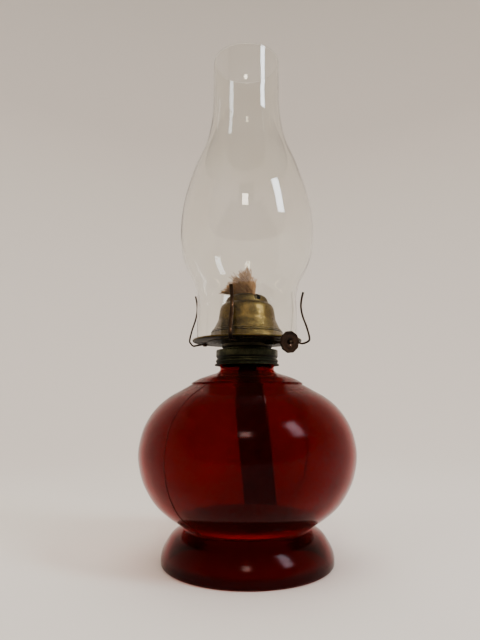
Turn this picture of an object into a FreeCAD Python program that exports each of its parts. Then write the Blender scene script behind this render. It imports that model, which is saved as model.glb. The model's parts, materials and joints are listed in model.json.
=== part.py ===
import FreeCAD, Part

# Table oil lamp: a footed glass font, a threaded collar set in plaster, a flat-wick
# burner with a wick raiser, and a glass chimney held by four sprung prongs.
# Millimetres, +Z up, origin on the table under the middle of the foot.
# -Y is the front. A bearing is measured from -Y towards +X, seen from above.

import math
import os

from FreeCAD import Vector

# ---- font -----------------------------------------------------------------
FOOT_RADIUS = 62.8          # widest part of the foot
FOOT_BAND = 6.0             # height of the upright edge band of the foot
FOOT_ROUND = 2.4            # rounding of the foot's lower edge
FOOT_WALL = 4.6             # glass at the foot's rim
WAIST_RADIUS = 47.8         # where the foot meets the body
WAIST_HEIGHT = 25.6
WAIST_BAND = 1.8            # upright band between foot and body
BODY_RADIUS = 80.9          # widest part of the body
BODY_HEIGHT = 77.5          # height of that widest part
LEDGE_RADIUS = 42.2         # ring edge on the shoulder
LEDGE_HEIGHT = 128.4
NECK_FOOT = 138.2           # where the shoulder turns up into the neck
NECK_TOP = 152.4
FONT_WALL = 3.6             # glass in the body and in the neck
FLOOR_GLASS = 5.0           # glass between the font and the hollow foot

# ---- collar and its plaster -------------------------------------------------
SHEET = 0.6                 # brass sheet of the burner
COLLAR_SHEET = 0.7          # brass sheet of the collar
COLLAR_TOP = 154.6          # the burner seats here
COLLAR_HEIGHT = 11.8
COLLAR_GROOVE = 0.9         # depth of the rolled groove
PLASTER_COVER = 0.8         # plaster over the top of the neck

# ---- screw thread between collar and burner ---------------------------------
THREAD_PITCH = 2.1
THREAD_RADIUS = 15.85       # crest of the male thread
THREAD_DEPTH = 0.5
THREAD_LENGTH = 6.3
THREAD_CREST = 0.25         # flat on top of the ridge
THREAD_FOOT = 0.85          # width of the ridge at its root
THREAD_FIT = 0.25           # radial room between male root and female crest
THIMBLE_WALL = 0.8
NECK_STAND = 4.95           # from the thread's crest out to the glass of the neck
COLLAR_STAND = 3.1          # from the neck out to the collar's upper wall
COLLAR_TURN_OUT = 1.0       # of the collar's bottom edge, beyond its upper wall
CUP_STAND = 1.15            # from the thread's crest out to the burner's cup
BASKET_STAND = 2.6          # from the cup out to the upright part of the air basket

# ---- burner -------------------------------------------------------------------
SEAT_GAP = 0.3              # room above the seat ring, and round it
SEAT_HEIGHT = 1.8           # plain ring that bears on the collar
SEAT_WIDTH = 1.9
BASKET_HEIGHT = 2.6
BASKET_SPREAD = 30.6        # where the basket meets the gallery
GALLERY_TOP = 162.0         # the chimney stands here
GALLERY_SHEET = 0.8
GALLERY_RADIUS = 42.3       # outside of the rolled rim
RIM_ROLL = 0.9              # radius of the roll
GALLERY_BORE = 28.4
DRAFT_HOLE = 1.5            # diameter of the gallery's air holes
DRAFT_CIRCLE = 32.0         # radius of their first circle
DRAFT_COUNT = 36
BASKET_HOLE = 1.7
BASKET_COUNT = 28

# ---- dome ----------------------------------------------------------------------
DOME_FLANGE = 30.6          # flange that lies on the gallery
DOME_STEP = 27.4            # top of the skirt
DOME_STEP_HEIGHT = 169.6
SKIRT_FLARE = 1.7           # how much wider the skirt is at its foot
DOME_WALL_RADIUS = 21.8     # upright wall of the bell
DOME_SHOULDER = 17.0
DOME_TOP = 200.2
SLOT_LENGTH = 29.6
SLOT_WIDTH = 5.8
PLATE_HEIGHT = 167.2        # diffuser plate under the dome
PLATE_HOLE = 1.6

# ---- wick, wick tube and raiser -----------------------------------------------
WICK_BEARING = 29.0         # bearing of the wick's width and of the raiser shaft
WICK_WIDTH = 25.4
WICK_THICKNESS = 2.5
WICK_TOP = 214.0
WICK_JOIN = 146.0           # below this the wick hangs free
WICK_END = 40.0
TUBE_ROOM = 0.4             # room round the wick's edges in its tube
TUBE_FACE_ROOM = 0.25       # room on the wick's faces
TUBE_TOP = 196.4
TUBE_BOTTOM = 146.6
SHAFT_HEIGHT = 161.0        # shaft axis over the middle of the burner
SHAFT_DROP = 4.9            # degrees, down towards the thumb wheel
SHAFT_RADIUS = 1.0
SHAFT_FIT = 0.06
SHAFT_TAIL = 10.4
SPUR_RADIUS = 4.4
SPUR_DEPTH = 1.2
SPUR_TEETH = 11
SPUR_THICK = 0.7
SPUR_SPREAD = 5.5           # each wheel's distance from the middle
SPUR_ROOM = 0.25            # from the spur tips to the wick
HOUSING_ROOM = 0.4
HOUSING_WALL = 0.5
HOUSING_CLEAR = 0.25        # least room between the housing and the parts round it
HOUSING_HALF = 8.6
GUARD_RADIUS = 1.6
GUARD_END = 31.0
WHEEL_RADIUS = 8.0          # thumb wheel, over its corners
WHEEL_SIDES = 10
WHEEL_THICK = 1.7
WHEEL_DISTANCE = 50.0
WHEEL_DISH = 2.6            # radius of the dimple round the shaft end
WHEEL_DISH_DEPTH = 0.5

# ---- prongs ---------------------------------------------------------------------
PRONG_NAMES = ("front", "right", "back", "left")
PRONG_BEARING = -17.0       # of the front prong, the others follow at right angles
PRONG_LEAN = (1.0, 3.5, 1.5, 0.0)   # degrees outwards, as they have been bent
PRONG_WIDTH = 2.6
PRONG_THICK = 1.1
PRONG_ROOM = 0.3            # between prong and glass
PRONG_UNDER_ROOM = 0.45     # between prong and gallery, so that the strip can tilt
PRONG_OUT = 48.0            # outermost point of the loop
PRONG_LOW = 158.6           # lowest point of the loop
PRONG_TOUCH = 187.0         # height of the bend that bears on the chimney
PRONG_TIP = 198.6
RIVET_CIRCLE = 34.8
RIVET_SHANK = 0.9
RIVET_HEAD = 1.6
RIVET_HEAD_HEIGHT = 0.6
RIVET_ROOM = 0.25

# ---- chimney ----------------------------------------------------------------------
CHIMNEY_HEIGHT = 236.4
CHIMNEY_BASE_RADIUS = 38.9
CHIMNEY_BULGE = 53.0
CHIMNEY_TOP_RADIUS = 27.5
CHIMNEY_GLASS = 1.5
CHIMNEY_STRAIGHT = 35.0     # upright fitter at the bottom
CHIMNEY_NECK = 37.0         # upright neck at the top

# ---- worked out from the sizes above -------------------------------------------------
THREAD_ROOT = THREAD_RADIUS - THREAD_DEPTH
NECK_RADIUS = THREAD_RADIUS + NECK_STAND
COLLAR_RADIUS = NECK_RADIUS + COLLAR_STAND
COLLAR_FLARE = COLLAR_RADIUS + COLLAR_TURN_OUT
CUP_RADIUS = THREAD_RADIUS + CUP_STAND
BASKET_RADIUS = CUP_RADIUS + BASKET_STAND
COLLAR_BORE = THREAD_RADIUS + THREAD_FIT
SEAT_TOP = COLLAR_TOP + SEAT_HEIGHT
BASE_FLANGE = COLLAR_TOP + SEAT_GAP
BASE_TOP = SEAT_TOP + SEAT_GAP
GALLERY_UNDER = GALLERY_TOP - GALLERY_SHEET
TUBE_HALF_WIDTH = WICK_WIDTH / 2 + TUBE_ROOM
TUBE_HALF_GAP = WICK_THICKNESS / 2 + TUBE_FACE_ROOM
SHAFT_OFFSET = WICK_THICKNESS / 2 + SPUR_ROOM + SPUR_RADIUS
HOUSING_REACH = SHAFT_OFFSET + SPUR_RADIUS + HOUSING_ROOM + HOUSING_WALL
HOUSING_RISE = SPUR_SPREAD * math.sin(math.radians(SHAFT_DROP)) + SPUR_RADIUS + HOUSING_ROOM + HOUSING_WALL
HOUSING_LOW = SHAFT_HEIGHT - HOUSING_RISE
HOUSING_HIGH = SHAFT_HEIGHT + HOUSING_RISE
Z_AXIS = Vector(0, 0, 1)


# ---- helpers ----------------------------------------------------------------------------
def point(radius, height):
    return Vector(radius, 0, height)


def line(a, b):
    return Part.LineSegment(a, b).toShape()


def spline(points, start=None, end=None):
    curve = Part.BSplineCurve()
    if start is None:
        curve.interpolate(points)
    else:
        curve.interpolate(Points=points, InitialTangent=start, FinalTangent=end)
    return curve


def offset_spline(curve, distance, count=24):
    """A curve at a steady distance to the left of one in the XZ plane."""
    points = []
    tangents = []
    for i in range(count + 1):
        u = curve.FirstParameter + (curve.LastParameter - curve.FirstParameter) * i / count
        tangent = curve.tangent(u)[0]
        points.append(curve.value(u) + Vector(-tangent.z, 0, tangent.x) * distance)
        tangents.append(tangent)
    return spline(points, tangents[0], tangents[-1])


def turn(edges):
    """A solid of revolution from a closed loop of edges in the XZ plane."""
    wire = Part.Wire(Part.__sortEdges__(edges))
    return Part.makeSolid(Part.Face(wire).revolve(Vector(0, 0, 0), Z_AXIS, 360).Shells[0])


def turn_points(pairs):
    corners = [point(r, z) for r, z in pairs]
    edges = [line(a, b) for a, b in zip(corners, corners[1:] + corners[:1])]
    return turn(edges)


def bearing(shape, degrees):
    """Turns a shape made facing -Y so that it faces the given bearing."""
    turned = shape.copy()
    turned.rotate(Vector(0, 0, 0), Z_AXIS, degrees)
    return turned


def cylinder(radius, height, base):
    return Part.makeCylinder(radius, height, base, Z_AXIS)


def ring_of_holes(radius, diameter, count, low, high, phase=0.0):
    holes = []
    for i in range(count):
        angle = math.radians(360.0 * (i + phase) / count)
        centre = Vector(radius * math.cos(angle), radius * math.sin(angle), low)
        holes.append(cylinder(diameter / 2, high - low, centre))
    return holes


def box(x0, x1, y0, y1, z0, z1):
    return Part.makeBox(x1 - x0, y1 - y0, z1 - z0, Vector(x0, y0, z0))


def one_solid(shape):
    if len(shape.Solids) != 1:
        raise ValueError("expected one solid, found %d" % len(shape.Solids))
    return shape.Solids[0]


# ---- glass --------------------------------------------------------------------------------
def body_curve():
    """Outline of the font's body from the waist up to the ring on its shoulder."""
    low = WAIST_HEIGHT + WAIST_BAND
    rise = BODY_HEIGHT - low
    swell = BODY_RADIUS - WAIST_RADIUS
    lower = [(0.0, 0.0), (0.30, 0.13), (0.58, 0.29), (0.79, 0.49), (0.93, 0.71), (1.0, 1.0)]
    points = [point(WAIST_RADIUS + swell * a, low + rise * b) for a, b in lower]
    fall = LEDGE_HEIGHT - BODY_HEIGHT
    shrink = BODY_RADIUS - LEDGE_RADIUS
    upper = [(0.055, 0.28), (0.17, 0.49), (0.345, 0.67), (0.56, 0.81), (0.79, 0.91), (1.0, 1.0)]
    points += [point(BODY_RADIUS - shrink * a, BODY_HEIGHT + fall * b) for a, b in upper]
    return spline(points)


def shoulder_curve(ledge_top):
    """Hollow curve from the ring edge up to the neck."""
    rise = NECK_FOOT + 1.2 - ledge_top
    run = LEDGE_RADIUS - 0.8 - NECK_RADIUS
    stations = [(1.0, 0.0), (0.72, 0.32), (0.34, 0.60), (0.10, 0.78), (0.0, 1.0)]
    points = [point(NECK_RADIUS + run * a, ledge_top + rise * b) for a, b in stations]
    return spline(points, Vector(-0.86, 0, 0.5), Vector(0, 0, 1))


def foot_curve():
    """Bell of the foot from the top of its edge band up to the waist."""
    drop = WAIST_HEIGHT - FOOT_BAND
    run = FOOT_RADIUS - WAIST_RADIUS
    stations = [(1.0, 0.0), (0.93, 0.22), (0.74, 0.50), (0.47, 0.77), (0.0, 1.0)]
    points = [point(WAIST_RADIUS + run * a, FOOT_BAND + drop * b) for a, b in stations]
    return spline(points, Vector(-0.1, 0, 1), Vector(-1, 0, 0.45))


def whole_font():
    """Foot and bowl in one outline, before they are parted at the waist."""
    body = body_curve()
    ledge_top = LEDGE_HEIGHT + 1.6
    shoulder = shoulder_curve(ledge_top)
    foot = foot_curve()
    body_end = body.value(body.LastParameter)
    ledge = Part.Arc(body_end, point(LEDGE_RADIUS + 0.35, LEDGE_HEIGHT + 0.9),
                     shoulder.value(shoulder.FirstParameter)).toShape()

    inner_body = offset_spline(body, FONT_WALL)
    inner_shoulder = offset_spline(shoulder, FONT_WALL)
    inner_low = inner_body.value(inner_body.FirstParameter)
    floor_top = inner_low.z + 1.6
    floor_edge = inner_body.intersect(Part.LineSegment(point(0, floor_top), point(BODY_RADIUS, floor_top)))[0]
    floor_edge = Vector(floor_edge.X, 0, floor_edge.Z)
    inner_body.segment(inner_body.parameter(floor_edge), inner_body.LastParameter)

    neck_inner = NECK_RADIUS - FONT_WALL
    lip = 0.9
    ceiling = floor_top - FLOOR_GLASS
    hollow_rim = FOOT_RADIUS - FOOT_WALL
    foot_inner = offset_spline(foot, FOOT_WALL)
    foot_low = foot_inner.value(foot_inner.FirstParameter)
    foot_high = foot_inner.value(foot_inner.LastParameter)
    base_outer = FOOT_RADIUS - FOOT_ROUND
    round_mid = FOOT_ROUND * (1 - math.sqrt(0.5))

    edges = [
        line(point(hollow_rim, 0), point(base_outer, 0)),
        Part.Arc(point(base_outer, 0), point(FOOT_RADIUS - round_mid, round_mid),
                 point(FOOT_RADIUS, FOOT_ROUND)).toShape(),
        line(point(FOOT_RADIUS, FOOT_ROUND), point(FOOT_RADIUS, FOOT_BAND)),
        foot.toShape(),
        line(point(WAIST_RADIUS, WAIST_HEIGHT), point(WAIST_RADIUS, WAIST_HEIGHT + WAIST_BAND)),
        body.toShape(),
        ledge,
        shoulder.toShape(),
        line(shoulder.value(shoulder.LastParameter), point(NECK_RADIUS, NECK_TOP - lip)),
        Part.Arc(point(NECK_RADIUS, NECK_TOP - lip),
                 point(NECK_RADIUS - lip * 0.3, NECK_TOP - lip * 0.3),
                 point(NECK_RADIUS - lip, NECK_TOP)).toShape(),
        line(point(NECK_RADIUS - lip, NECK_TOP), point(neck_inner, NECK_TOP)),
        line(point(neck_inner, NECK_TOP), inner_shoulder.value(inner_shoulder.LastParameter)),
        inner_shoulder.toShape(),
        line(inner_shoulder.value(inner_shoulder.FirstParameter), inner_body.value(inner_body.LastParameter)),
        inner_body.toShape(),
        line(inner_body.value(inner_body.FirstParameter), point(0, floor_top)),
        line(point(0, floor_top), point(0, ceiling)),
        line(point(0, ceiling), point(foot_high.x - 6.0, ceiling)),
        line(point(foot_high.x - 6.0, ceiling), foot_high),
        foot_inner.toShape(),
        line(foot_low, point(hollow_rim, 0)),
    ]
    return turn(edges)


def below_waist():
    return cylinder(FOOT_RADIUS + WAIST_RADIUS, WAIST_HEIGHT + 1, point(0, -1))


def glass_foot():
    """Pressed bell foot. The bowl is fused on to its top at the ring line of the waist."""
    return one_solid(whole_font().common(below_waist()))


def glass_bowl():
    """Everything above the ring line: floor, body, shoulder and neck."""
    return one_solid(whole_font().cut(below_waist()))


def chimney_curve():
    """Outer outline of the chimney between its straight fitter and its straight neck."""
    low = GALLERY_TOP + CHIMNEY_STRAIGHT
    high = GALLERY_TOP + CHIMNEY_HEIGHT - CHIMNEY_NECK
    widest = low + 0.325 * (high - low)
    swell = CHIMNEY_BULGE - CHIMNEY_BASE_RADIUS
    lower = [(0.0, 0.0), (0.22, 0.21), (0.67, 0.46), (0.93, 0.71), (1.0, 1.0)]
    points = [point(CHIMNEY_BASE_RADIUS + swell * a, low + (widest - low) * b) for a, b in lower]
    shrink = CHIMNEY_BULGE - CHIMNEY_TOP_RADIUS
    upper = [(0.08, 0.175), (0.275, 0.355), (0.525, 0.52), (0.775, 0.665), (0.925, 0.815), (1.0, 1.0)]
    points += [point(CHIMNEY_BULGE - shrink * a, widest + (high - widest) * b) for a, b in upper]
    return spline(points, Vector(0, 0, 1), Vector(0, 0, 1))


def chimney():
    outer = chimney_curve()
    inner = offset_spline(outer, CHIMNEY_GLASS, 40)
    top = GALLERY_TOP + CHIMNEY_HEIGHT
    half = CHIMNEY_GLASS / 2
    low_out = outer.value(outer.FirstParameter)
    low_in = inner.value(inner.FirstParameter)
    high_out = outer.value(outer.LastParameter)
    high_in = inner.value(inner.LastParameter)
    edges = [
        line(point(low_in.x, GALLERY_TOP), point(low_out.x, GALLERY_TOP)),
        line(point(low_out.x, GALLERY_TOP), low_out),
        outer.toShape(),
        line(high_out, point(high_out.x, top - half)),
        Part.Arc(point(high_out.x, top - half), point(high_out.x - half, top),
                 point(high_in.x, top - half)).toShape(),
        line(point(high_in.x, top - half), high_in),
        inner.toShape(),
        line(low_in, point(low_in.x, GALLERY_TOP)),
    ]
    return turn(edges)


# ---- collar ---------------------------------------------------------------------------------
def thread_ridge(root, crest, low, length):
    """One helical ridge standing on a cylinder, outwards or inwards."""
    sink = 0.12 if crest > root else -0.12
    helix = Part.makeHelix(THREAD_PITCH, length, root)
    half_foot = THREAD_FOOT / 2
    half_crest = THREAD_CREST / 2
    slope = (half_foot - half_crest) / abs(crest - root)
    half_sunk = half_foot + slope * abs(sink)
    corners = [point(root - sink, -half_sunk), point(crest, -half_crest),
               point(crest, half_crest), point(root - sink, half_sunk)]
    section = Part.Wire([line(a, b) for a, b in zip(corners, corners[1:] + corners[:1])])
    ridge = Part.Wire(helix).makePipeShell([section], True, True)
    ridge.translate(Vector(0, 0, low))
    return ridge


def collar():
    """Brass channel over the neck: a threaded inner wall, a flat top and a beaded skirt."""
    bottom = COLLAR_TOP - COLLAR_HEIGHT
    outer = COLLAR_RADIUS
    groove = outer - COLLAR_GROOVE
    outline = [
        (COLLAR_BORE, COLLAR_TOP - 0.4), (COLLAR_BORE + 0.4, COLLAR_TOP),
        (outer - 1.0, COLLAR_TOP), (outer - 0.3, COLLAR_TOP - 0.3), (outer, COLLAR_TOP - 1.0),
        (outer, COLLAR_TOP - 5.2), (groove, COLLAR_TOP - 6.0), (groove, COLLAR_TOP - 7.0),
        (outer + 0.1, COLLAR_TOP - 7.7), (outer + 0.1, COLLAR_TOP - 9.2), (groove + 0.3, COLLAR_TOP - 9.9),
        (COLLAR_FLARE, bottom + 0.7), (COLLAR_FLARE, bottom), (groove + 0.3 - COLLAR_SHEET, bottom + 0.7),
    ]
    inside = [
        (groove - COLLAR_SHEET, COLLAR_TOP - COLLAR_SHEET),
        (COLLAR_BORE + COLLAR_SHEET, COLLAR_TOP - COLLAR_SHEET),
        (COLLAR_BORE + COLLAR_SHEET, COLLAR_TOP - THREAD_LENGTH - 1.5),
        (COLLAR_BORE, COLLAR_TOP - THREAD_LENGTH - 1.5),
    ]
    shell = turn_points(outline + inside)
    crest = THREAD_ROOT + THREAD_FIT
    ridge = thread_ridge(COLLAR_BORE, crest, COLLAR_TOP - THREAD_LENGTH + THREAD_PITCH / 2,
                         THREAD_LENGTH - THREAD_PITCH)
    return one_solid(shell.fuse(ridge))


def collar_plaster():
    """Plaster that beds the collar on the neck: it fills the channel round the glass."""
    outer = COLLAR_RADIUS - COLLAR_GROOVE - COLLAR_SHEET
    under_top = COLLAR_TOP - COLLAR_SHEET
    inner = COLLAR_BORE + COLLAR_SHEET
    low = COLLAR_TOP - COLLAR_HEIGHT + 1.6
    inner_low = COLLAR_TOP - THREAD_LENGTH - 1.5
    block = turn_points([(inner, inner_low), (NECK_RADIUS - FONT_WALL, inner_low),
                         (NECK_RADIUS - FONT_WALL, low), (outer, low), (outer, under_top), (inner, under_top)])
    return one_solid(block.cut(glass_bowl()))


# ---- burner ---------------------------------------------------------------------------------
def seat_ring():
    """Plain ring under the burner that bears on the collar."""
    inner = CUP_RADIUS + SEAT_GAP
    outer = inner + SEAT_WIDTH - SEAT_GAP
    return turn_points([(inner, COLLAR_TOP), (outer - 0.5, COLLAR_TOP), (outer, COLLAR_TOP + 0.6),
                        (outer, SEAT_TOP - 0.4), (outer - 0.3, SEAT_TOP), (inner, SEAT_TOP)])


def burner_base():
    """Threaded thimble, with a floor that carries the wick tube and a cup above."""
    bore = THREAD_ROOT - THIMBLE_WALL
    low = COLLAR_TOP - THREAD_LENGTH - 0.8
    floor = COLLAR_TOP - 2.6
    shell = turn_points([
        (bore, low), (THREAD_ROOT, low), (THREAD_ROOT, BASE_FLANGE), (CUP_RADIUS, BASE_FLANGE),
        (CUP_RADIUS, BASE_TOP), (CUP_RADIUS - SHEET, BASE_TOP), (CUP_RADIUS - SHEET, BASE_FLANGE + SHEET),
        (bore, BASE_FLANGE + SHEET), (bore, floor + SHEET), (0, floor + SHEET), (0, floor), (bore, floor),
    ])
    ridge = thread_ridge(THREAD_ROOT, THREAD_RADIUS, COLLAR_TOP - THREAD_LENGTH,
                         THREAD_LENGTH - THREAD_PITCH / 2)
    tube_hole = flat_oval(TUBE_HALF_WIDTH + SHEET, TUBE_HALF_GAP + SHEET, floor - 1, floor + 2)
    return one_solid(shell.fuse(ridge).cut(tube_hole).cut(housing_space()))


def flat_oval(half_width, half_thickness, low, high):
    """Upright bar with round edges, its width along the wick's bearing."""
    straight = half_width - half_thickness
    bar = box(-half_thickness, half_thickness, -straight, straight, low, high)
    ends = [cylinder(half_thickness, high - low, Vector(0, y, low)) for y in (-straight, straight)]
    return bearing(bar.fuse(ends).removeSplitter(), WICK_BEARING)


def wick_tube():
    outer = flat_oval(TUBE_HALF_WIDTH + SHEET, TUBE_HALF_GAP + SHEET, TUBE_BOTTOM, TUBE_TOP)
    inner = flat_oval(TUBE_HALF_WIDTH, TUBE_HALF_GAP, TUBE_BOTTOM - 1, TUBE_TOP + 1)
    tube = outer.cut(inner)
    reach = SPUR_RADIUS + HOUSING_ROOM
    for along in (-SPUR_SPREAD, SPUR_SPREAD):
        window = box(0, TUBE_HALF_GAP + 2 * SHEET, -along - 1.0, -along + 1.0,
                     SHAFT_HEIGHT - reach * 0.75, SHAFT_HEIGHT + reach * 0.75)
        tube = tube.cut(bearing(window, WICK_BEARING))
    return one_solid(tube)


def shaft_line(distance):
    """A point on the raiser shaft's axis, at a distance from the middle of the burner."""
    drop = math.radians(SHAFT_DROP)
    turned = math.radians(WICK_BEARING)
    reach = distance * math.cos(drop)
    x = math.sin(turned) * reach + math.cos(turned) * SHAFT_OFFSET
    y = -math.cos(turned) * reach + math.sin(turned) * SHAFT_OFFSET
    return Vector(x, y, SHAFT_HEIGHT - distance * math.sin(drop))


def on_shaft(shape, distance):
    """Moves a shape made round +Z at the origin onto the shaft, +Z pointing outwards."""
    direction = shaft_line(1) - shaft_line(0)
    placed = shape.copy()
    placed.Placement = FreeCAD.Placement(shaft_line(distance), FreeCAD.Rotation(Z_AXIS, direction))
    return placed


def shaft_bar(radius, start, end):
    return on_shaft(Part.makeCylinder(radius, end - start), start)


def housing_space():
    """The room that the parts round the housing leave for it."""
    side = HOUSING_HALF + HOUSING_CLEAR
    space = box(0, HOUSING_REACH + HOUSING_CLEAR, -side, side,
                HOUSING_LOW - HOUSING_CLEAR, HOUSING_HIGH + HOUSING_CLEAR)
    return bearing(space, WICK_BEARING)


def ratchet_housing():
    """Box on the side of the wick tube that covers the spur wheels."""
    face = TUBE_HALF_GAP + SHEET
    block = box(face, HOUSING_REACH, -HOUSING_HALF, HOUSING_HALF, HOUSING_LOW, HOUSING_HIGH)
    hollow = box(face - 1, HOUSING_REACH - HOUSING_WALL, -HOUSING_HALF + HOUSING_WALL,
                 HOUSING_HALF - HOUSING_WALL, HOUSING_LOW + HOUSING_WALL, HOUSING_HIGH - HOUSING_WALL)
    box_shell = bearing(block.cut(hollow), WICK_BEARING)
    return one_solid(box_shell.cut(shaft_bar(SHAFT_RADIUS + SHAFT_FIT, -2 * HOUSING_HALF, 2 * HOUSING_HALF)))


def shaft_guard():
    """Bush that carries the shaft from the housing out under the gallery."""
    tube = shaft_bar(GUARD_RADIUS, HOUSING_HALF - 1.5, GUARD_END)
    tube = tube.cut(shaft_bar(SHAFT_RADIUS + SHAFT_FIT, HOUSING_HALF - 2.5, GUARD_END + 1))
    inside = bearing(box(0, 3 * HOUSING_REACH, -HOUSING_HALF, HOUSING_HALF, 0, 2 * SHAFT_HEIGHT), WICK_BEARING)
    return one_solid(tube.cut(inside))


def air_basket():
    """Shallow perforated bowl that joins the burner base to the gallery."""
    low = BASE_TOP
    bend = low + BASKET_HEIGHT
    inner = BASKET_RADIUS - SHEET
    shell = turn_points([
        (CUP_RADIUS - SHEET, low), (BASKET_RADIUS - 0.5, low), (BASKET_RADIUS, low + 0.5),
        (BASKET_RADIUS, bend), (BASKET_SPREAD, GALLERY_UNDER - SHEET), (BASKET_SPREAD, GALLERY_UNDER),
        (BASKET_SPREAD - 1.2, GALLERY_UNDER), (inner, bend + SHEET), (inner, low + SHEET),
        (CUP_RADIUS - SHEET, low + SHEET),
    ])
    holes = []
    for i, share in enumerate((12, 27, 42)):
        radius = BASKET_RADIUS + (BASKET_SPREAD - BASKET_RADIUS) * share / 55
        holes += ring_of_holes(radius, BASKET_HOLE, BASKET_COUNT, low, GALLERY_TOP, 0.5 * (i % 2))
    shell = shell.cut(shaft_bar(GUARD_RADIUS, 0, GUARD_END + 5))
    return one_solid(shell.cut(Part.makeCompound(holes)))


def gallery():
    """Disc that the chimney stands on, with a rolled rim and a ring of draft holes."""
    centre = GALLERY_RADIUS - RIM_ROLL
    disc = turn_points([(GALLERY_BORE, GALLERY_UNDER), (centre, GALLERY_UNDER),
                        (centre, GALLERY_TOP), (GALLERY_BORE, GALLERY_TOP)])
    roll = Part.makeTorus(centre, RIM_ROLL, Vector(0, 0, GALLERY_UNDER + RIM_ROLL * 0.75))
    plate = disc.fuse(roll)
    holes = []
    for i in range(2):
        holes += ring_of_holes(DRAFT_CIRCLE + 1.2 * DRAFT_HOLE * i, DRAFT_HOLE * 0.8, DRAFT_COUNT,
                               GALLERY_UNDER - 1, GALLERY_TOP + 1, 0.5 * i)
    for i in range(4):
        spot = bearing(cylinder(RIVET_SHANK, 4, Vector(0, -RIVET_CIRCLE, GALLERY_UNDER - 2)),
                       PRONG_BEARING + 90 * i)
        holes.append(spot)
    return one_solid(plate.cut(Part.makeCompound(holes)))


def dome_curve():
    """Outer outline of the bell from the step of its skirt to the middle of its top."""
    step = DOME_STEP - 1.0
    wall = DOME_WALL_RADIUS
    cap = DOME_SHOULDER
    low = DOME_STEP_HEIGHT
    points = [point(step, low + 0.8), point(wall + 2.4, low + 4.7), point(wall + 0.6, low + 8.6),
              point(wall, low + 13.0), point(wall - 0.8, low + 17.2), point(wall - 2.2, low + 20.0),
              point(cap + 0.4, low + 22.0)]
    return spline(points, Vector(-0.75, 0, 1), Vector(-1, 0, 0.35))


def dome():
    """Bell-shaped flame deflector with a flange, a stepped skirt and a slot for the wick."""
    bell = dome_curve()
    inner_bell = offset_spline(bell, SHEET)
    cap_points = [bell.value(bell.LastParameter), point(DOME_SHOULDER - 0.2, DOME_TOP - 7.0),
                  point(DOME_SHOULDER - 1.6, DOME_TOP - 3.4), point(DOME_SHOULDER * 0.55, DOME_TOP - 0.9),
                  point(0, DOME_TOP)]
    cap = spline(cap_points, Vector(0.02, 0, 1), Vector(-1, 0, 0))
    inner_cap = offset_spline(cap, SHEET)
    bell_low = bell.value(bell.FirstParameter)
    inner_low = inner_bell.value(inner_bell.FirstParameter)
    step = DOME_STEP
    edges = [
        line(point(DOME_FLANGE, GALLERY_TOP), point(DOME_FLANGE, GALLERY_TOP + SHEET)),
        line(point(DOME_FLANGE, GALLERY_TOP + SHEET), point(step + SKIRT_FLARE, GALLERY_TOP + SHEET)),
        line(point(step + SKIRT_FLARE, GALLERY_TOP + SHEET), point(step, DOME_STEP_HEIGHT - 0.6)),
        Part.Arc(point(step, DOME_STEP_HEIGHT - 0.6), point(step - 0.1, DOME_STEP_HEIGHT + 0.3),
                 bell_low).toShape(),
        bell.toShape(),
        cap.toShape(),
        line(point(0, DOME_TOP), inner_cap.value(inner_cap.LastParameter)),
        inner_cap.toShape(),
        line(inner_cap.value(inner_cap.FirstParameter), inner_bell.value(inner_bell.LastParameter)),
        inner_bell.toShape(),
        line(inner_low, point(step - SHEET, DOME_STEP_HEIGHT - 0.9)),
        line(point(step - SHEET, DOME_STEP_HEIGHT - 0.9), point(step + SKIRT_FLARE - SHEET, GALLERY_TOP)),
        line(point(step + SKIRT_FLARE - SHEET, GALLERY_TOP), point(DOME_FLANGE, GALLERY_TOP)),
    ]
    slot = flat_oval(SLOT_LENGTH / 2, SLOT_WIDTH / 2, DOME_TOP - 12, DOME_TOP + 2)
    return one_solid(turn(edges).cut(slot))


def diffuser_plate():
    """Perforated disc round the wick tube that spreads the draught under the dome."""
    climb = (PLATE_HEIGHT + SHEET - GALLERY_TOP) / (DOME_STEP_HEIGHT - 0.9 - GALLERY_TOP)
    edge = DOME_STEP - SHEET + SKIRT_FLARE * (1 - climb)
    plate = cylinder(edge, SHEET, Vector(0, 0, PLATE_HEIGHT))
    holes = [flat_oval(TUBE_HALF_WIDTH + SHEET, TUBE_HALF_GAP + SHEET, PLATE_HEIGHT - 1, PLATE_HEIGHT + 2)]
    for i, radius in enumerate((17.0, 20.0, 23.0)):
        holes += ring_of_holes(radius, PLATE_HOLE, 30 + 6 * i, PLATE_HEIGHT - 1, PLATE_HEIGHT + 2, 0.5 * (i % 2))
    return one_solid(plate.cut(Part.makeCompound(holes)).cut(housing_space()))


# ---- wick raiser --------------------------------------------------------------------------
def raiser_shaft():
    """Shaft with a peened head outside the thumb wheel."""
    shaft = shaft_bar(SHAFT_RADIUS, -SHAFT_TAIL, WHEEL_DISTANCE + WHEEL_THICK / 2)
    head = Part.makeSphere(SHAFT_RADIUS * 1.15)
    head = head.common(Part.makeBox(4, 4, 2, Vector(-2, -2, 0)))
    return one_solid(shaft.fuse(on_shaft(head, WHEEL_DISTANCE + WHEEL_THICK / 2 - WHEEL_DISH_DEPTH * 0.2)))


def spur_wheel(distance):
    corners = []
    for i in range(2 * SPUR_TEETH):
        radius = SPUR_RADIUS if i % 2 == 0 else SPUR_RADIUS - SPUR_DEPTH
        angle = math.pi * i / SPUR_TEETH
        corners.append(Vector(radius * math.cos(angle), radius * math.sin(angle), -SPUR_THICK / 2))
    outline = Part.Wire([line(a, b) for a, b in zip(corners, corners[1:] + corners[:1])])
    wheel = Part.Face(outline).extrude(Vector(0, 0, SPUR_THICK))
    wheel = wheel.cut(Part.makeCylinder(SHAFT_RADIUS, SPUR_THICK * 2, Vector(0, 0, -SPUR_THICK)))
    return one_solid(on_shaft(wheel, distance))


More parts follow.
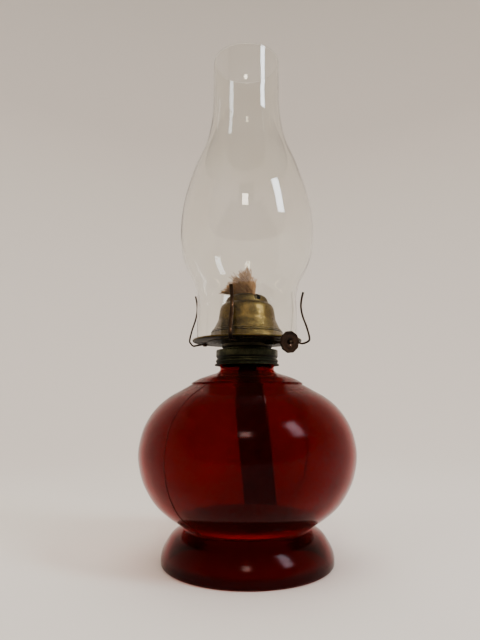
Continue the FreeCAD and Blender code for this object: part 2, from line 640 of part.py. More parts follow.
def thumb_wheel():
    """Ten-cornered stamped disc with softened corners and a dimple round the shaft end."""
    corners = []
    for i in range(WHEEL_SIDES):
        angle = 2 * math.pi * i / WHEEL_SIDES
        corners.append(Vector(WHEEL_RADIUS * math.cos(angle), WHEEL_RADIUS * math.sin(angle), -WHEEL_THICK / 2))
    outline = Part.Wire([line(a, b) for a, b in zip(corners, corners[1:] + corners[:1])])
    wheel = Part.Face(outline).extrude(Vector(0, 0, WHEEL_THICK))
    upright = [e for e in wheel.Edges if abs(e.Vertexes[0].Z - e.Vertexes[1].Z) > WHEEL_THICK / 2]
    wheel = wheel.makeFillet(1.0, upright)
    flat = [e for e in wheel.Edges if abs(e.BoundBox.ZMax - e.BoundBox.ZMin) < 0.01]
    wheel = wheel.makeFillet(min(0.4, WHEEL_THICK / 4), flat)
    dimple = Part.makeCone(WHEEL_DISH - WHEEL_DISH_DEPTH, WHEEL_DISH, WHEEL_DISH_DEPTH,
                           Vector(0, 0, WHEEL_THICK / 2 - WHEEL_DISH_DEPTH))
    bore = Part.makeCylinder(SHAFT_RADIUS, WHEEL_THICK * 2, Vector(0, 0, -WHEEL_THICK))
    return one_solid(on_shaft(wheel.cut(dimple).cut(bore), WHEEL_DISTANCE))


def wick():
    return flat_oval(WICK_WIDTH / 2, WICK_THICKNESS / 2, WICK_JOIN, WICK_TOP)


def wick_tail():
    return flat_oval(WICK_WIDTH / 2, WICK_THICKNESS / 2, WICK_END, WICK_JOIN)


# ---- prongs ----------------------------------------------------------------------------------
def prong_level():
    """Height of the strip's middle where it lies under the gallery."""
    return GALLERY_UNDER - PRONG_UNDER_ROOM - PRONG_THICK / 2


def prong(index):
    """Flat spring strip: riveted under the gallery, looped round its rim, bent in to the glass."""
    level = prong_level()
    low = PRONG_LOW + PRONG_THICK / 2
    out = PRONG_OUT - PRONG_THICK / 2
    touch = CHIMNEY_BASE_RADIUS + PRONG_ROOM + PRONG_THICK / 2
    climb = PRONG_TOUCH - GALLERY_TOP
    path = spline([
        point(RIVET_CIRCLE - 2.2, level), point(RIVET_CIRCLE + 2.2, level),
        point(GALLERY_RADIUS - 1.3, low + 0.35), point(GALLERY_RADIUS + 1.6, low),
        point(out - 1.0, low + 1.7), point(out, GALLERY_TOP + 1.6),
        point(touch + 0.70 * (out - touch), GALLERY_TOP + 0.37 * climb),
        point(touch + 0.22 * (out - touch), GALLERY_TOP + 0.72 * climb),
        point(touch, PRONG_TOUCH), point(touch + 0.8, PRONG_TOUCH + 0.55 * (PRONG_TIP - PRONG_TOUCH)),
        point(touch + 2.6, PRONG_TIP),
    ], Vector(1, 0, 0), Vector(0.35, 0, 1))
    inner = offset_spline(path, PRONG_THICK / 2, 48)
    outer = offset_spline(path, -PRONG_THICK / 2, 48)
    edges = [
        inner.toShape(), outer.toShape(),
        line(inner.value(inner.FirstParameter), outer.value(outer.FirstParameter)),
        line(inner.value(inner.LastParameter), outer.value(outer.LastParameter)),
    ]
    face = Part.Face(Part.Wire(Part.__sortEdges__(edges)))
    face.translate(Vector(0, -PRONG_WIDTH / 2, 0))
    strip = face.extrude(Vector(0, PRONG_WIDTH, 0))
    hole = cylinder(RIVET_SHANK + RIVET_ROOM, 4, Vector(RIVET_CIRCLE, 0, level - 2))
    strip = strip.cut(hole)
    strip.rotate(Vector(RIVET_CIRCLE, 0, level), Vector(0, 1, 0), PRONG_LEAN[index])
    strip.rotate(Vector(0, 0, 0), Z_AXIS, -90)
    return one_solid(bearing(strip, PRONG_BEARING + 90 * index))


def prong_rivets():
    """Four rivets, one through the root of each prong."""
    level = prong_level()
    under = level - PRONG_THICK / 2 - RIVET_ROOM
    rivets = []
    for i in range(4):
        shank = cylinder(RIVET_SHANK, GALLERY_TOP - under, Vector(0, -RIVET_CIRCLE, under))
        top = cylinder(RIVET_HEAD, RIVET_HEAD_HEIGHT, Vector(0, -RIVET_CIRCLE, GALLERY_TOP))
        top = top.makeFillet(RIVET_HEAD_HEIGHT * 0.6, [top.Edges[0]])
        bottom = cylinder(RIVET_HEAD, RIVET_HEAD_HEIGHT, Vector(0, -RIVET_CIRCLE, under - RIVET_HEAD_HEIGHT))
        rivets.append(bearing(shank.fuse([top, bottom]).removeSplitter(), PRONG_BEARING + 90 * i))
    return Part.makeCompound(rivets)


def build():
    nodes = {
        "glass_foot": glass_foot(),
        "glass_bowl": glass_bowl(),
        "collar_plaster": collar_plaster(),
        "collar": collar(),
        "seat_ring": seat_ring(),
        "burner_base": burner_base(),
        "air_basket": air_basket(),
        "gallery": gallery(),
        "dome": dome(),
        "diffuser_plate": diffuser_plate(),
        "wick_tube": wick_tube(),
        "ratchet_housing": ratchet_housing(),
        "shaft_guard": shaft_guard(),
        "raiser_shaft": raiser_shaft(),
        "spur_wheel_inner": spur_wheel(-SPUR_SPREAD),
        "spur_wheel_outer": spur_wheel(SPUR_SPREAD),
        "thumb_wheel": thumb_wheel(),
        "wick": wick(),
        "wick_tail": wick_tail(),
        "prong_rivets": prong_rivets(),
        "chimney": chimney(),
    }
    for index, name in enumerate(PRONG_NAMES):
        nodes["prong_" + name] = prong(index)
    return nodes


os.makedirs("parts", exist_ok=True)
for node_name, node_shape in build().items():
    node_shape.exportStep("parts/%s.step" % node_name)
    print("%-18s solids %d valid %s volume %.1f mm3" % (
        node_name, len(node_shape.Solids), node_shape.isValid(), node_shape.Volume))
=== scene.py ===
# A footed ruby glass oil lamp with an aged brass burner and a clear chimney.
# Metres, +Z up, the front of the lamp towards -Y, as in the frame.

import json
import math
import random

import bmesh
import bpy
from mathutils import Matrix, Vector


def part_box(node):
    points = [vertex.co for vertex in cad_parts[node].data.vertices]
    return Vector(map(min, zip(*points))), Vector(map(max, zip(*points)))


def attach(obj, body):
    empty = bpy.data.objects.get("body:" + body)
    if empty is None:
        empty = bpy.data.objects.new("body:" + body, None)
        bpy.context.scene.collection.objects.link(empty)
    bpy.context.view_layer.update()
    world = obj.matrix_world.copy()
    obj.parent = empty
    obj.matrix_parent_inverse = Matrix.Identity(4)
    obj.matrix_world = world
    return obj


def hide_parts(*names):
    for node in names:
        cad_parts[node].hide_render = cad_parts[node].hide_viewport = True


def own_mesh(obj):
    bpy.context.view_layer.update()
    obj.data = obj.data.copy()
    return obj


MM = 0.001
Z_AXIS = Vector((0, 0, 1))
random.seed(7)

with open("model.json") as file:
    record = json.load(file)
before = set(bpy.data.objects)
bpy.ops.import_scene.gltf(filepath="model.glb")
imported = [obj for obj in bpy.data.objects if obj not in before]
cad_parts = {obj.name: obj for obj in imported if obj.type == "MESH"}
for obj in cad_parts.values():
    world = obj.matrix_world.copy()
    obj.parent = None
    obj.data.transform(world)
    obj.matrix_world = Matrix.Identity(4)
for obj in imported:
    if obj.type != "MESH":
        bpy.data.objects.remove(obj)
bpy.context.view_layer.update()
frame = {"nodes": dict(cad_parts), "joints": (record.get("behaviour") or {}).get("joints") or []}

# ---- sizes from the frame
bowl_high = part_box("glass_bowl")[1]
chimney_low, chimney_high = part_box("chimney")
collar_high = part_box("collar")[1]
gallery_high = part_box("gallery")[1]
dome_low, dome_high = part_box("dome")
basket_low, basket_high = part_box("air_basket")
ring_low, ring_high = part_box("seat_ring")
wick_low, wick_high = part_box("wick")
tail_low, tail_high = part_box("wick_tail")
joints = {joint["name"]: joint for joint in frame["joints"]}

BODY_RADIUS = bowl_high.x
NECK_TOP = bowl_high.z
CHIMNEY_FOOT = chimney_low.z
CHIMNEY_TOP = chimney_high.z
BULGE_RADIUS = chimney_high.x
COLLAR_TOP = collar_high.z
GALLERY_RADIUS = gallery_high.x
DOME_FOOT = dome_low.z
DOME_TOP = dome_high.z

# ---- camera
LENS = 29.2                 # focal length in millimetres
SENSOR = 36                 # width in millimetres
CAMERA_BACK = 402 * MM
CAMERA_SIDE = -5.4 * MM
CAMERA_UP = 115.7 * MM
CAMERA_TILT = math.radians(8.9)


def make_camera():
    """Low in front of the lamp, tilted up."""
    data = bpy.data.cameras.new("camera")
    data.lens = LENS
    data.sensor_width = SENSOR
    data.clip_start = 10 * MM
    camera = bpy.data.objects.new("camera", data)
    camera.location = (CAMERA_SIDE, -CAMERA_BACK, CAMERA_UP)
    camera.rotation_euler = (math.pi / 2 + CAMERA_TILT, 0, 0)
    bpy.context.scene.collection.objects.link(camera)
    bpy.context.scene.camera = camera


# ---- node building
def new_tree(name, kind, inputs, outputs):
    """A node group whose sockets are given as (label, kind of socket)."""
    tree = bpy.data.node_groups.new(name, kind)
    for label, socket in inputs:
        tree.interface.new_socket(label, in_out="INPUT", socket_type="NodeSocket" + socket)
    for label, socket in outputs:
        tree.interface.new_socket(label, in_out="OUTPUT", socket_type="NodeSocket" + socket)
    return tree, tree.nodes.new("NodeGroupInput").outputs, tree.nodes.new("NodeGroupOutput").inputs


def put(tree, kind, sockets=None, **settings):
    """Adds a node. Each entry of sockets is a value to set or an output to link from."""
    node = tree.nodes.new(kind)
    for key, value in settings.items():
        setattr(node, key, value)
    for key, value in (sockets or {}).items():
        if isinstance(value, bpy.types.NodeSocket):
            tree.links.new(value, node.inputs[key])
        else:
            node.inputs[key].default_value = value
    return node


def math_node(tree, operation, a, b=0.0, c=0.0):
    return put(tree, "ShaderNodeMath", {0: a, 1: b, 2: c}, operation=operation).outputs[0]


def plus(tree, a, b):
    return math_node(tree, "ADD", a, b)


def minus(tree, a, b):
    return math_node(tree, "SUBTRACT", a, b)


def times(tree, a, b):
    return math_node(tree, "MULTIPLY", a, b)


def times_plus(tree, a, b, c):
    return math_node(tree, "MULTIPLY_ADD", a, b, c)


def mix_colour(tree, factor, a, b):
    return put(tree, "ShaderNodeMix", {0: factor, 6: a, 7: b}, data_type="RGBA").outputs[2]


def spread(tree, value, low, high, to_low=0.0, to_high=1.0):
    """Maps a value from one range to another, with a clamp."""
    node = put(tree, "ShaderNodeMapRange", {0: value, 1: low, 2: high, 3: to_low, 4: to_high})
    return node.outputs[0]


def noise(tree, vector, scale, detail=4.0, roughness=0.55):
    sockets = {"Vector": vector, "Scale": scale, "Detail": detail, "Roughness": roughness}
    return put(tree, "ShaderNodeTexNoise", sockets).outputs[0]


def patchy(tree, vector, scale, detail, low, high, roughness=0.55):
    """Noise of which the part between low and high runs from 0 to 1."""
    return spread(tree, noise(tree, vector, scale, detail, roughness), low, high)


def stretched(tree, vector, share):
    """The same place with its height scaled."""
    return put(tree, "ShaderNodeMapping", {"Vector": vector, "Scale": (1.0, 1.0, share)}).outputs[0]


def height_in(tree, vector):
    """The Z part of a vector."""
    return put(tree, "ShaderNodeSeparateXYZ", {0: vector}).outputs[2]


# ---- geometry trees
GUIDE_RADIUS = 1 * MM       # of the circle that an outline is swept round
HOLE_CORNERS = 10
FONT_STEPS = 160            # flats round a turned piece
WIDE_STEPS = 144
COLLAR_STEPS = 128
STAGE_STEPS = 96
GLASS_CREASE = 60           # degrees, an edge sharper than this isn't shaded smooth
STRIP_CREASE = 50
SHEET_CREASE = 45


def finish_tree(tree, geometry, material, output):
    smooth = put(tree, "GeometryNodeSetShadeSmooth", {0: geometry})
    real = put(tree, "GeometryNodeRealizeInstances", {0: smooth.outputs[0]})
    coloured = put(tree, "GeometryNodeSetMaterial", {"Geometry": real.outputs[0], "Material": material})
    tree.links.new(coloured.outputs[0], output)


def turning_tree():
    """Turns an outline, drawn with radius along X and height along Z, about the lamp's axis."""
    tree, given, out = new_tree("turned_piece", "GeometryNodeTree", [
        ("Outline", "Geometry"), ("Segments", "Int"), ("Guide Radius", "Float"),
        ("Merge Distance", "Float"), ("Material", "Material"),
    ], [("Geometry", "Geometry")])
    place = put(tree, "GeometryNodeInputPosition").outputs[0]
    parts = put(tree, "ShaderNodeSeparateXYZ", {0: place})
    inward = minus(tree, parts.outputs[0], given["Guide Radius"])
    downward = times(tree, parts.outputs[2], -1.0)
    flat = put(tree, "ShaderNodeCombineXYZ", {0: inward, 1: downward})
    laid = put(tree, "GeometryNodeSetPosition", {"Geometry": given["Outline"], "Position": flat.outputs[0]})
    outline = put(tree, "GeometryNodeMeshToCurve", {0: laid.outputs[0]})
    guide = put(tree, "GeometryNodeCurvePrimitiveCircle", {
        "Resolution": given["Segments"], "Radius": given["Guide Radius"]})
    skin = put(tree, "GeometryNodeCurveToMesh", {0: guide.outputs[0], "Profile Curve": outline.outputs[0]})
    closed = put(tree, "GeometryNodeMergeByDistance", {
        "Geometry": skin.outputs[0], "Distance": given["Merge Distance"]})
    finish_tree(tree, closed.outputs[0], given["Material"], out["Geometry"])
    return tree


def punching_tree():
    """Cuts a circle of round holes through a sheet."""
    tree, given, out = new_tree("punched_sheet", "GeometryNodeTree", [
        ("Sheet", "Geometry"), ("Circle Radius", "Float"), ("Count", "Int"),
        ("Hole Radius", "Float"), ("Depth", "Float"), ("Height", "Float"),
        ("Phase", "Float"), ("Material", "Material"),
    ], [("Geometry", "Geometry")])
    circle = put(tree, "GeometryNodeMeshCircle", {
        "Vertices": given["Count"], "Radius": given["Circle Radius"]})
    lift = put(tree, "ShaderNodeCombineXYZ", {2: given["Height"]})
    turn = put(tree, "ShaderNodeCombineXYZ", {2: given["Phase"]})
    placed = put(tree, "GeometryNodeTransform", {
        "Geometry": circle.outputs[0], "Translation": lift.outputs[0], "Rotation": turn.outputs[0]})
    punch = put(tree, "GeometryNodeMeshCylinder", {
        "Vertices": HOLE_CORNERS, "Radius": given["Hole Radius"], "Depth": given["Depth"]})
    copies = put(tree, "GeometryNodeInstanceOnPoints", {
        "Points": placed.outputs[0], "Instance": punch.outputs[0]})
    real = put(tree, "GeometryNodeRealizeInstances", {0: copies.outputs[0]})
    cut = put(tree, "GeometryNodeMeshBoolean", {0: given["Sheet"], 1: real.outputs[0]},
              operation="DIFFERENCE")
    finish_tree(tree, cut.outputs[0], given["Material"], out["Geometry"])
    return tree


def strip_tree():
    """Sweeps a bar with rounded edges along a path."""
    tree, given, out = new_tree("swept_strip", "GeometryNodeTree", [
        ("Path", "Geometry"), ("Width", "Float"), ("Thickness", "Float"),
        ("Edge Round", "Float"), ("Material", "Material"),
    ], [("Geometry", "Geometry")])
    path = put(tree, "GeometryNodeMeshToCurve", {0: given["Path"]})
    section = put(tree, "GeometryNodeCurvePrimitiveQuadrilateral", {
        "Width": given["Width"], "Height": given["Thickness"]})
    softened = put(tree, "GeometryNodeFilletCurve", {
        "Curve": section.outputs[0], "Count": 3, "Radius": given["Edge Round"]}, mode="POLY")
    swept = put(tree, "GeometryNodeCurveToMesh", {
        0: path.outputs[0], "Profile Curve": softened.outputs[0], "Fill Caps": True})
    finish_tree(tree, swept.outputs[0], given["Material"], out["Geometry"])
    return tree


def yarn_tree():
    """Lays evenly spaced wavy yarns side by side along a strap's length."""
    tree, given, out = new_tree("yarns", "GeometryNodeTree", [
        ("Path", "Geometry"), ("Radius", "Float"), ("Wave", "Float"),
        ("Wave Length", "Float"), ("Material", "Material"),
    ], [("Geometry", "Geometry")])
    path = put(tree, "GeometryNodeMeshToCurve", {0: given["Path"]})
    place = put(tree, "GeometryNodeInputPosition").outputs[0]
    parts = put(tree, "ShaderNodeSeparateXYZ", {0: place})
    which = put(tree, "GeometryNodeInputIndex").outputs[0]
    strand = put(tree, "GeometryNodeCurveOfPoint", {0: which}).outputs[0]
    turns = math_node(tree, "DIVIDE", parts.outputs[2], given["Wave Length"])
    phase = times_plus(tree, turns, 2 * math.pi, times(tree, strand, math.pi))
    swing = times(tree, math_node(tree, "SINE", phase), given["Wave"])
    normal = put(tree, "FunctionNodeInputVector")
    normal.vector = (math.cos(WICK_TURN), math.sin(WICK_TURN), 0)
    shift = put(tree, "ShaderNodeVectorMath", {0: normal.outputs[0], "Scale": swing}, operation="SCALE")
    waved = put(tree, "GeometryNodeSetPosition", {"Geometry": path.outputs[0], "Offset": shift.outputs[0]})
    section = put(tree, "GeometryNodeCurvePrimitiveCircle", {"Resolution": 6, "Radius": given["Radius"]})
    swept = put(tree, "GeometryNodeCurveToMesh", {
        0: waved.outputs[0], "Profile Curve": section.outputs[0], "Fill Caps": True})
    finish_tree(tree, swept.outputs[0], given["Material"], out["Geometry"])
    return tree


def grow(name, tree, mesh, values):
    """Runs a geometry tree on a mesh and keeps the plain mesh that comes out."""
    carrier = bpy.data.objects.new(name + "_carrier", mesh)
    bpy.context.scene.collection.objects.link(carrier)
    modifier = carrier.modifiers.new("grow", "NODES")
    modifier.node_group = tree
    for item in tree.interface.items_tree:
        if item.in_out == "INPUT" and item.name in values:
            modifier[item.identifier] = values[item.name]
    graph = bpy.context.evaluated_depsgraph_get()
    result = bpy.data.meshes.new_from_object(carrier.evaluated_get(graph), depsgraph=graph)
    bpy.data.objects.remove(carrier)
    result.name = name
    return result


def dress(mesh, material):
    mesh.materials.clear()
    mesh.materials.append(material)


def piece(name, mesh, body, material, replaces):
    """A finished piece: its object at the origin, its place in its mesh."""
    thing = bpy.data.objects.new(name, mesh)
    bpy.context.scene.collection.objects.link(thing)
    dress(mesh, material)
    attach(thing, body)
    if replaces:
        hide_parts(*replaces)
    return thing


def outline_mesh(points, cyclic=False):
    """Edges through (radius, height) points, in the XZ plane."""
    mesh = bpy.data.meshes.new("outline")
    edges = [(i, i + 1) for i in range(len(points) - 1)]
    if cyclic:
        edges.append((len(points) - 1, 0))
    mesh.from_pydata([(r, 0, z) for r, z in points], edges, [])
    return mesh


def path_mesh(paths):
    """Edges through lists of 3-D points, one open chain each."""
    points = []
    edges = []
    for path in paths:
        first = len(points)
        points += [tuple(p) for p in path]
        edges += [(first + i, first + i + 1) for i in range(len(path) - 1)]
    mesh = bpy.data.meshes.new("path")
    mesh.from_pydata(points, edges, [])
    return mesh


def outward(mesh):
    """Makes every face of a closed mesh point outwards."""
    work = bmesh.new()
    work.from_mesh(mesh)
    bmesh.ops.remove_doubles(work, verts=work.verts, dist=1e-6)
    bmesh.ops.recalc_face_normals(work, faces=work.faces)
    work.to_mesh(mesh)
    work.free()
    return mesh


def shell_mesh(work, name):
    """Ends the building of a closed mesh: smooth faces that point outwards."""
    bmesh.ops.recalc_face_normals(work, faces=work.faces)
    for face in work.faces:
        face.smooth = True
    mesh = bpy.data.meshes.new(name)
    work.to_mesh(mesh)
    work.free()
    return mesh


def sharpen(mesh, degrees):
    """Smooth shading that keeps edges sharper than an angle."""
    work = bmesh.new()
    work.from_mesh(mesh)
    limit = math.radians(degrees)
    for face in work.faces:
        face.smooth = True
    for edge in work.edges:
        edge.smooth = len(edge.link_faces) == 2 and edge.calc_face_angle(0.0) < limit
    work.to_mesh(mesh)
    work.free()
    return mesh


def turned(name, points, material, segments, cyclic=True):
    values = {"Segments": segments, "Guide Radius": GUIDE_RADIUS, "Merge Distance": 0.002 * MM,
              "Material": material}
    return outward(grow(name, TURNING, outline_mesh(points, cyclic), values))


# ---- outlines
def smooth_line(points, steps=6):
    """A Catmull-Rom curve through the points, which it keeps."""
    padded = [points[0]] + list(points) + [points[-1]]
    line = []
    for i in range(1, len(padded) - 2):
        a, b, c, d = (Vector(p) for p in padded[i - 1:i + 3])
        for step in range(steps):
            t = step / steps
            line.append(tuple(0.5 * ((2 * b) + (c - a) * t + (2 * a - 5 * b + 4 * c - d) * t * t
                                     + (3 * b - a - 3 * c + d) * t ** 3)))
    line.append(tuple(points[-1]))
    return line


def offset_line(points, distance):
    """The line at a steady distance to the left of one."""
    moved = []
    for i, here in enumerate(points):
        before = Vector(points[max(i - 1, 0)])
        after = Vector(points[min(i + 1, len(points) - 1)])
        along = (after - before).normalized()
        moved.append((here[0] - along.y * distance, here[1] + along.x * distance))
    return moved


def soften(points, radius, steps=3, cyclic=True):
    """Rounds the corners of an outline, each by no more than its shorter side allows."""
    count = len(points)
    rounded = []
    for i, here in enumerate(points):
        if not cyclic and i in (0, count - 1):
            rounded.append(tuple(here))
            continue
        here = Vector(here)
        before = Vector(points[i - 1]) - here
        after = Vector(points[(i + 1) % count]) - here
        reach = min(radius, before.length * 0.45, after.length * 0.45)
        start = here + before.normalized() * reach
        end = here + after.normalized() * reach
        for step in range(steps + 1):
            t = step / steps
            rounded.append(tuple(start * (1 - t) ** 2 + here * (2 * t * (1 - t)) + end * t ** 2))
    return rounded


# ---- glass shapes
WAIST_RADIUS = 47.8 * MM
WAIST_HEIGHT = 25.6 * MM
WAIST_BAND = 1.8 * MM
WAIST_BEAD = 0.5 * MM
BODY_HEIGHT = 77.5 * MM
LEDGE_RADIUS = 42.2 * MM
LEDGE_HEIGHT = 128.4 * MM
LEDGE_THICK = 1.6 * MM
NECK_RADIUS = 20.8 * MM
NECK_FOOT = 139.4 * MM
FOOT_RADIUS = 62.8 * MM
FOOT_BAND = 6.0 * MM
FOOT_ROUND = 2.4 * MM
FOOT_WALL = 4.6 * MM
FONT_WALL = 3.6 * MM
FLOOR_GLASS = 5.0 * MM
FLOOR_RISE = 1.6 * MM       # the font's floor, over the foot of its inner wall
NECK_LIP = 0.9 * MM
CHIMNEY_GLASS = 1.2 * MM
SEAM_WIDTH = 1.0 * MM
SEAM_THICK = 0.40 * MM
SEAM_ROUND = 0.18 * MM
SEAM_BEARINGS = (("left", -42.0), ("right", 138.0))   # degrees from the front towards the right
MOUTH_ROUND = 0.6 * MM      # height of the fire-polished mouth
MOUTH_SWELL = 0.1 * MM
FITTER_ROUND = 0.7 * MM     # height of the rounded lower edge
FITTER_RADIUS = 38.9 * MM
FITTER_HEIGHT = 35.0 * MM
CHIMNEY_NECK_RADIUS = 27.5 * MM
CHIMNEY_NECK = 37.0 * MM


def stations(start, end, shares):
    """Points between two corners, each a share of the way across and a share of the way up."""
    return [(start[0] + (end[0] - start[0]) * a, start[1] + (end[1] - start[1]) * b) for a, b in shares]


def body_line():
    """The font's body from its waist up to the ring on its shoulder."""
    widest = (BODY_RADIUS, BODY_HEIGHT)
    lower = stations((WAIST_RADIUS, WAIST_HEIGHT + WAIST_BAND), widest,
                     [(0, 0), (0.30, 0.13), (0.58, 0.29), (0.79, 0.49), (0.93, 0.71), (1, 1)])
    upper = stations(widest, (LEDGE_RADIUS, LEDGE_HEIGHT),
                     [(0.055, 0.28), (0.17, 0.49), (0.345, 0.67), (0.56, 0.81), (0.79, 0.91), (1, 1)])
    return smooth_line(lower + upper, 5)


def shoulder_line():
    """The hollow curve from the ring up to the neck."""
    start = (LEDGE_RADIUS - 0.8 * MM, LEDGE_HEIGHT + LEDGE_THICK)
    return smooth_line(stations(start, (NECK_RADIUS, NECK_FOOT),
                                [(0, 0), (0.28, 0.32), (0.66, 0.60), (0.90, 0.78), (1, 1)]), 5)


def foot_line():
    """The bell of the foot from its edge band up to the waist."""
    return smooth_line(stations((FOOT_RADIUS, FOOT_BAND), (WAIST_RADIUS, WAIST_HEIGHT),
                                [(0, 0), (0.07, 0.22), (0.26, 0.50), (0.53, 0.77), (1, 1)]), 5)


def outer_font_line():
    """Everything of the font that shows, from the table up to the top of the neck."""
    flat = FOOT_RADIUS - FOOT_ROUND
    base = [(flat, 0.0)]
    for step in range(1, 5):
        angle = math.pi / 2 * step / 4
        base.append((flat + FOOT_ROUND * math.sin(angle), FOOT_ROUND * (1 - math.cos(angle))))
    waist = [(WAIST_RADIUS + WAIST_BEAD * math.sin(math.pi * i / 4), WAIST_HEIGHT + WAIST_BAND * i / 4)
             for i in range(1, 4)]
    ring = [(LEDGE_RADIUS + 0.35 * MM, LEDGE_HEIGHT + 0.5 * MM),
            (LEDGE_RADIUS + 0.3 * MM, LEDGE_HEIGHT + 1.1 * MM)]
    neck = [(NECK_RADIUS, NECK_TOP - NECK_LIP), (NECK_RADIUS - 0.3 * NECK_LIP, NECK_TOP - 0.3 * NECK_LIP),
            (NECK_RADIUS - NECK_LIP, NECK_TOP)]
    return base + foot_line() + waist + body_line() + ring + shoulder_line() + neck


def font_outline():
    """The section of the font's glass, from the middle of its floor round to the hollow of the foot.

    The points near the rounded corners keep the long flat faces from being shaded as curved.
    """
    inner_body = offset_line(body_line(), FONT_WALL)
    inner_shoulder = offset_line(shoulder_line(), FONT_WALL)
    floor = inner_body[0][1] + FLOOR_RISE
    inner_body = [p for p in inner_body if p[1] > floor + 0.4 * MM]
    ceiling = floor - FLOOR_GLASS
    inner_foot = offset_line(foot_line(), FOOT_WALL)
    inside = [(0.0, floor), (inner_body[0][0] - 4.6 * MM, floor), (inner_body[0][0] - 2.6 * MM, floor)]
    inside += inner_body + inner_shoulder
    inside += [(NECK_RADIUS - FONT_WALL, NECK_TOP)]
    under = [(FOOT_RADIUS - FOOT_WALL, 0.0)] + inner_foot
    under += [(inner_foot[-1][0] - 6 * MM, ceiling), (inner_foot[-1][0] - 8 * MM, ceiling), (0.0, ceiling)]
    return inside + outer_font_line()[::-1] + under


def chimney_line():
    """The chimney's outer line from the table of the gallery up to its mouth."""
    low = (FITTER_RADIUS, CHIMNEY_FOOT + FITTER_HEIGHT)
    high = (CHIMNEY_NECK_RADIUS, CHIMNEY_TOP - CHIMNEY_NECK)
    widest = (BULGE_RADIUS, low[1] + 0.325 * (high[1] - low[1]))
    lower = stations(low, widest, [(0, 0), (0.22, 0.21), (0.67, 0.46), (0.93, 0.71), (1, 1)])
    upper = stations(widest, high, [(0.08, 0.175), (0.275, 0.355), (0.525, 0.52), (0.775, 0.665),
                                    (0.925, 0.815), (1, 1)])
    straight = (FITTER_RADIUS, low[1] - 0.3 * FITTER_HEIGHT)
    neck = (CHIMNEY_NECK_RADIUS, high[1] + 0.25 * CHIMNEY_NECK)
    line = smooth_line([straight] + lower + upper + [neck], 6)
    low_end = [(FITTER_RADIUS, CHIMNEY_FOOT + step * MM) for step in (0.8, 1.2, 2.0)]
    high_end = [(CHIMNEY_NECK_RADIUS, CHIMNEY_TOP - step * MM) for step in (3.0, 2.0, 1.4)]
    return low_end + line + high_end


def chimney_outline():
    """The section of the chimney's glass, with its fire-polished ends."""
    outer = chimney_line()
    inner = offset_line(outer, CHIMNEY_GLASS)[::-1]
    mouth = CHIMNEY_NECK_RADIUS - CHIMNEY_GLASS / 2
    lip = [(mouth + (CHIMNEY_GLASS / 2 + MOUTH_SWELL) * math.cos(a),
            CHIMNEY_TOP - MOUTH_ROUND + MOUTH_ROUND * math.sin(a))
           for a in (math.pi * i / 8 for i in range(9))]
    fitter = FITTER_RADIUS - CHIMNEY_GLASS / 2
    foot = [(fitter - CHIMNEY_GLASS / 2 * math.cos(a),
             CHIMNEY_FOOT + FITTER_ROUND - FITTER_ROUND * math.sin(a))
            for a in (math.pi * i / 6 for i in range(1, 6))]
    return outer + lip + inner + foot


# ---- brass shapes
SHEET = 0.6 * MM            # brass sheet of the burner
COLLAR_SHEET = 0.7 * MM
COLLAR_RADIUS = 23.9 * MM
COLLAR_BORE = 16.1 * MM
COLLAR_HEIGHT = 11.8 * MM
COLLAR_GROOVE = 0.9 * MM
THREAD_LENGTH = 6.3 * MM
DOME_STEP = 27.4 * MM
STEP_HEIGHT = 7.6 * MM      # of the dome's skirt, over its flange
SKIRT_FLARE = 1.7 * MM
DOME_WALL = 21.8 * MM
DOME_SHOULDER = 17.0 * MM
SLOT_LENGTH = 36.0 * MM
SLOT_WIDTH = 5.8 * MM
SLOT_DEPTH = 7.8 * MM       # from the dome's full height down to the ends of the slot
BELL_STEPS = 6              # points from one station of the bell to the next
GALLERY_SHEET = 0.8 * MM
GALLERY_BORE = 28.4 * MM
RIM_ROLL = 0.9 * MM
BASKET_WALL = 19.6 * MM     # upright part of the air bowl
BASKET_BORE = 16.4 * MM
GALLERY_HOLE = 0.6 * MM     # hole radius, with the radius and count of each circle below
GALLERY_CIRCLES = [(32.0 * MM, 36), (33.8 * MM, 36)]
BASKET_HOLE = 0.85 * MM
BASKET_CIRCLES = [(22.0 * MM, 28), (25.0 * MM, 28), (28.0 * MM, 28)]
WICK_WIDTH = 25.4 * MM
WICK_THICK = 2.5 * MM

shaft_start = Vector(joints["raiser_turn"]["pos_m"])
shaft_out = -Vector(joints["raiser_turn"]["axis"]).normalized()
WICK_TURN = math.atan2(shaft_out.x, -shaft_out.y)
wick_across = Vector((math.sin(WICK_TURN), -math.cos(WICK_TURN), 0))
wick_normal = Vector((math.cos(WICK_TURN), math.sin(WICK_TURN), 0))


def rolled_bead(radius, height, swell, count=6):
    """Half-round bead that stands out of an upright wall, from its lower edge up."""
    return [(radius + swell * math.sin(math.pi * i / count), height - swell * math.cos(math.pi * i / count))
            for i in range(count + 1)]


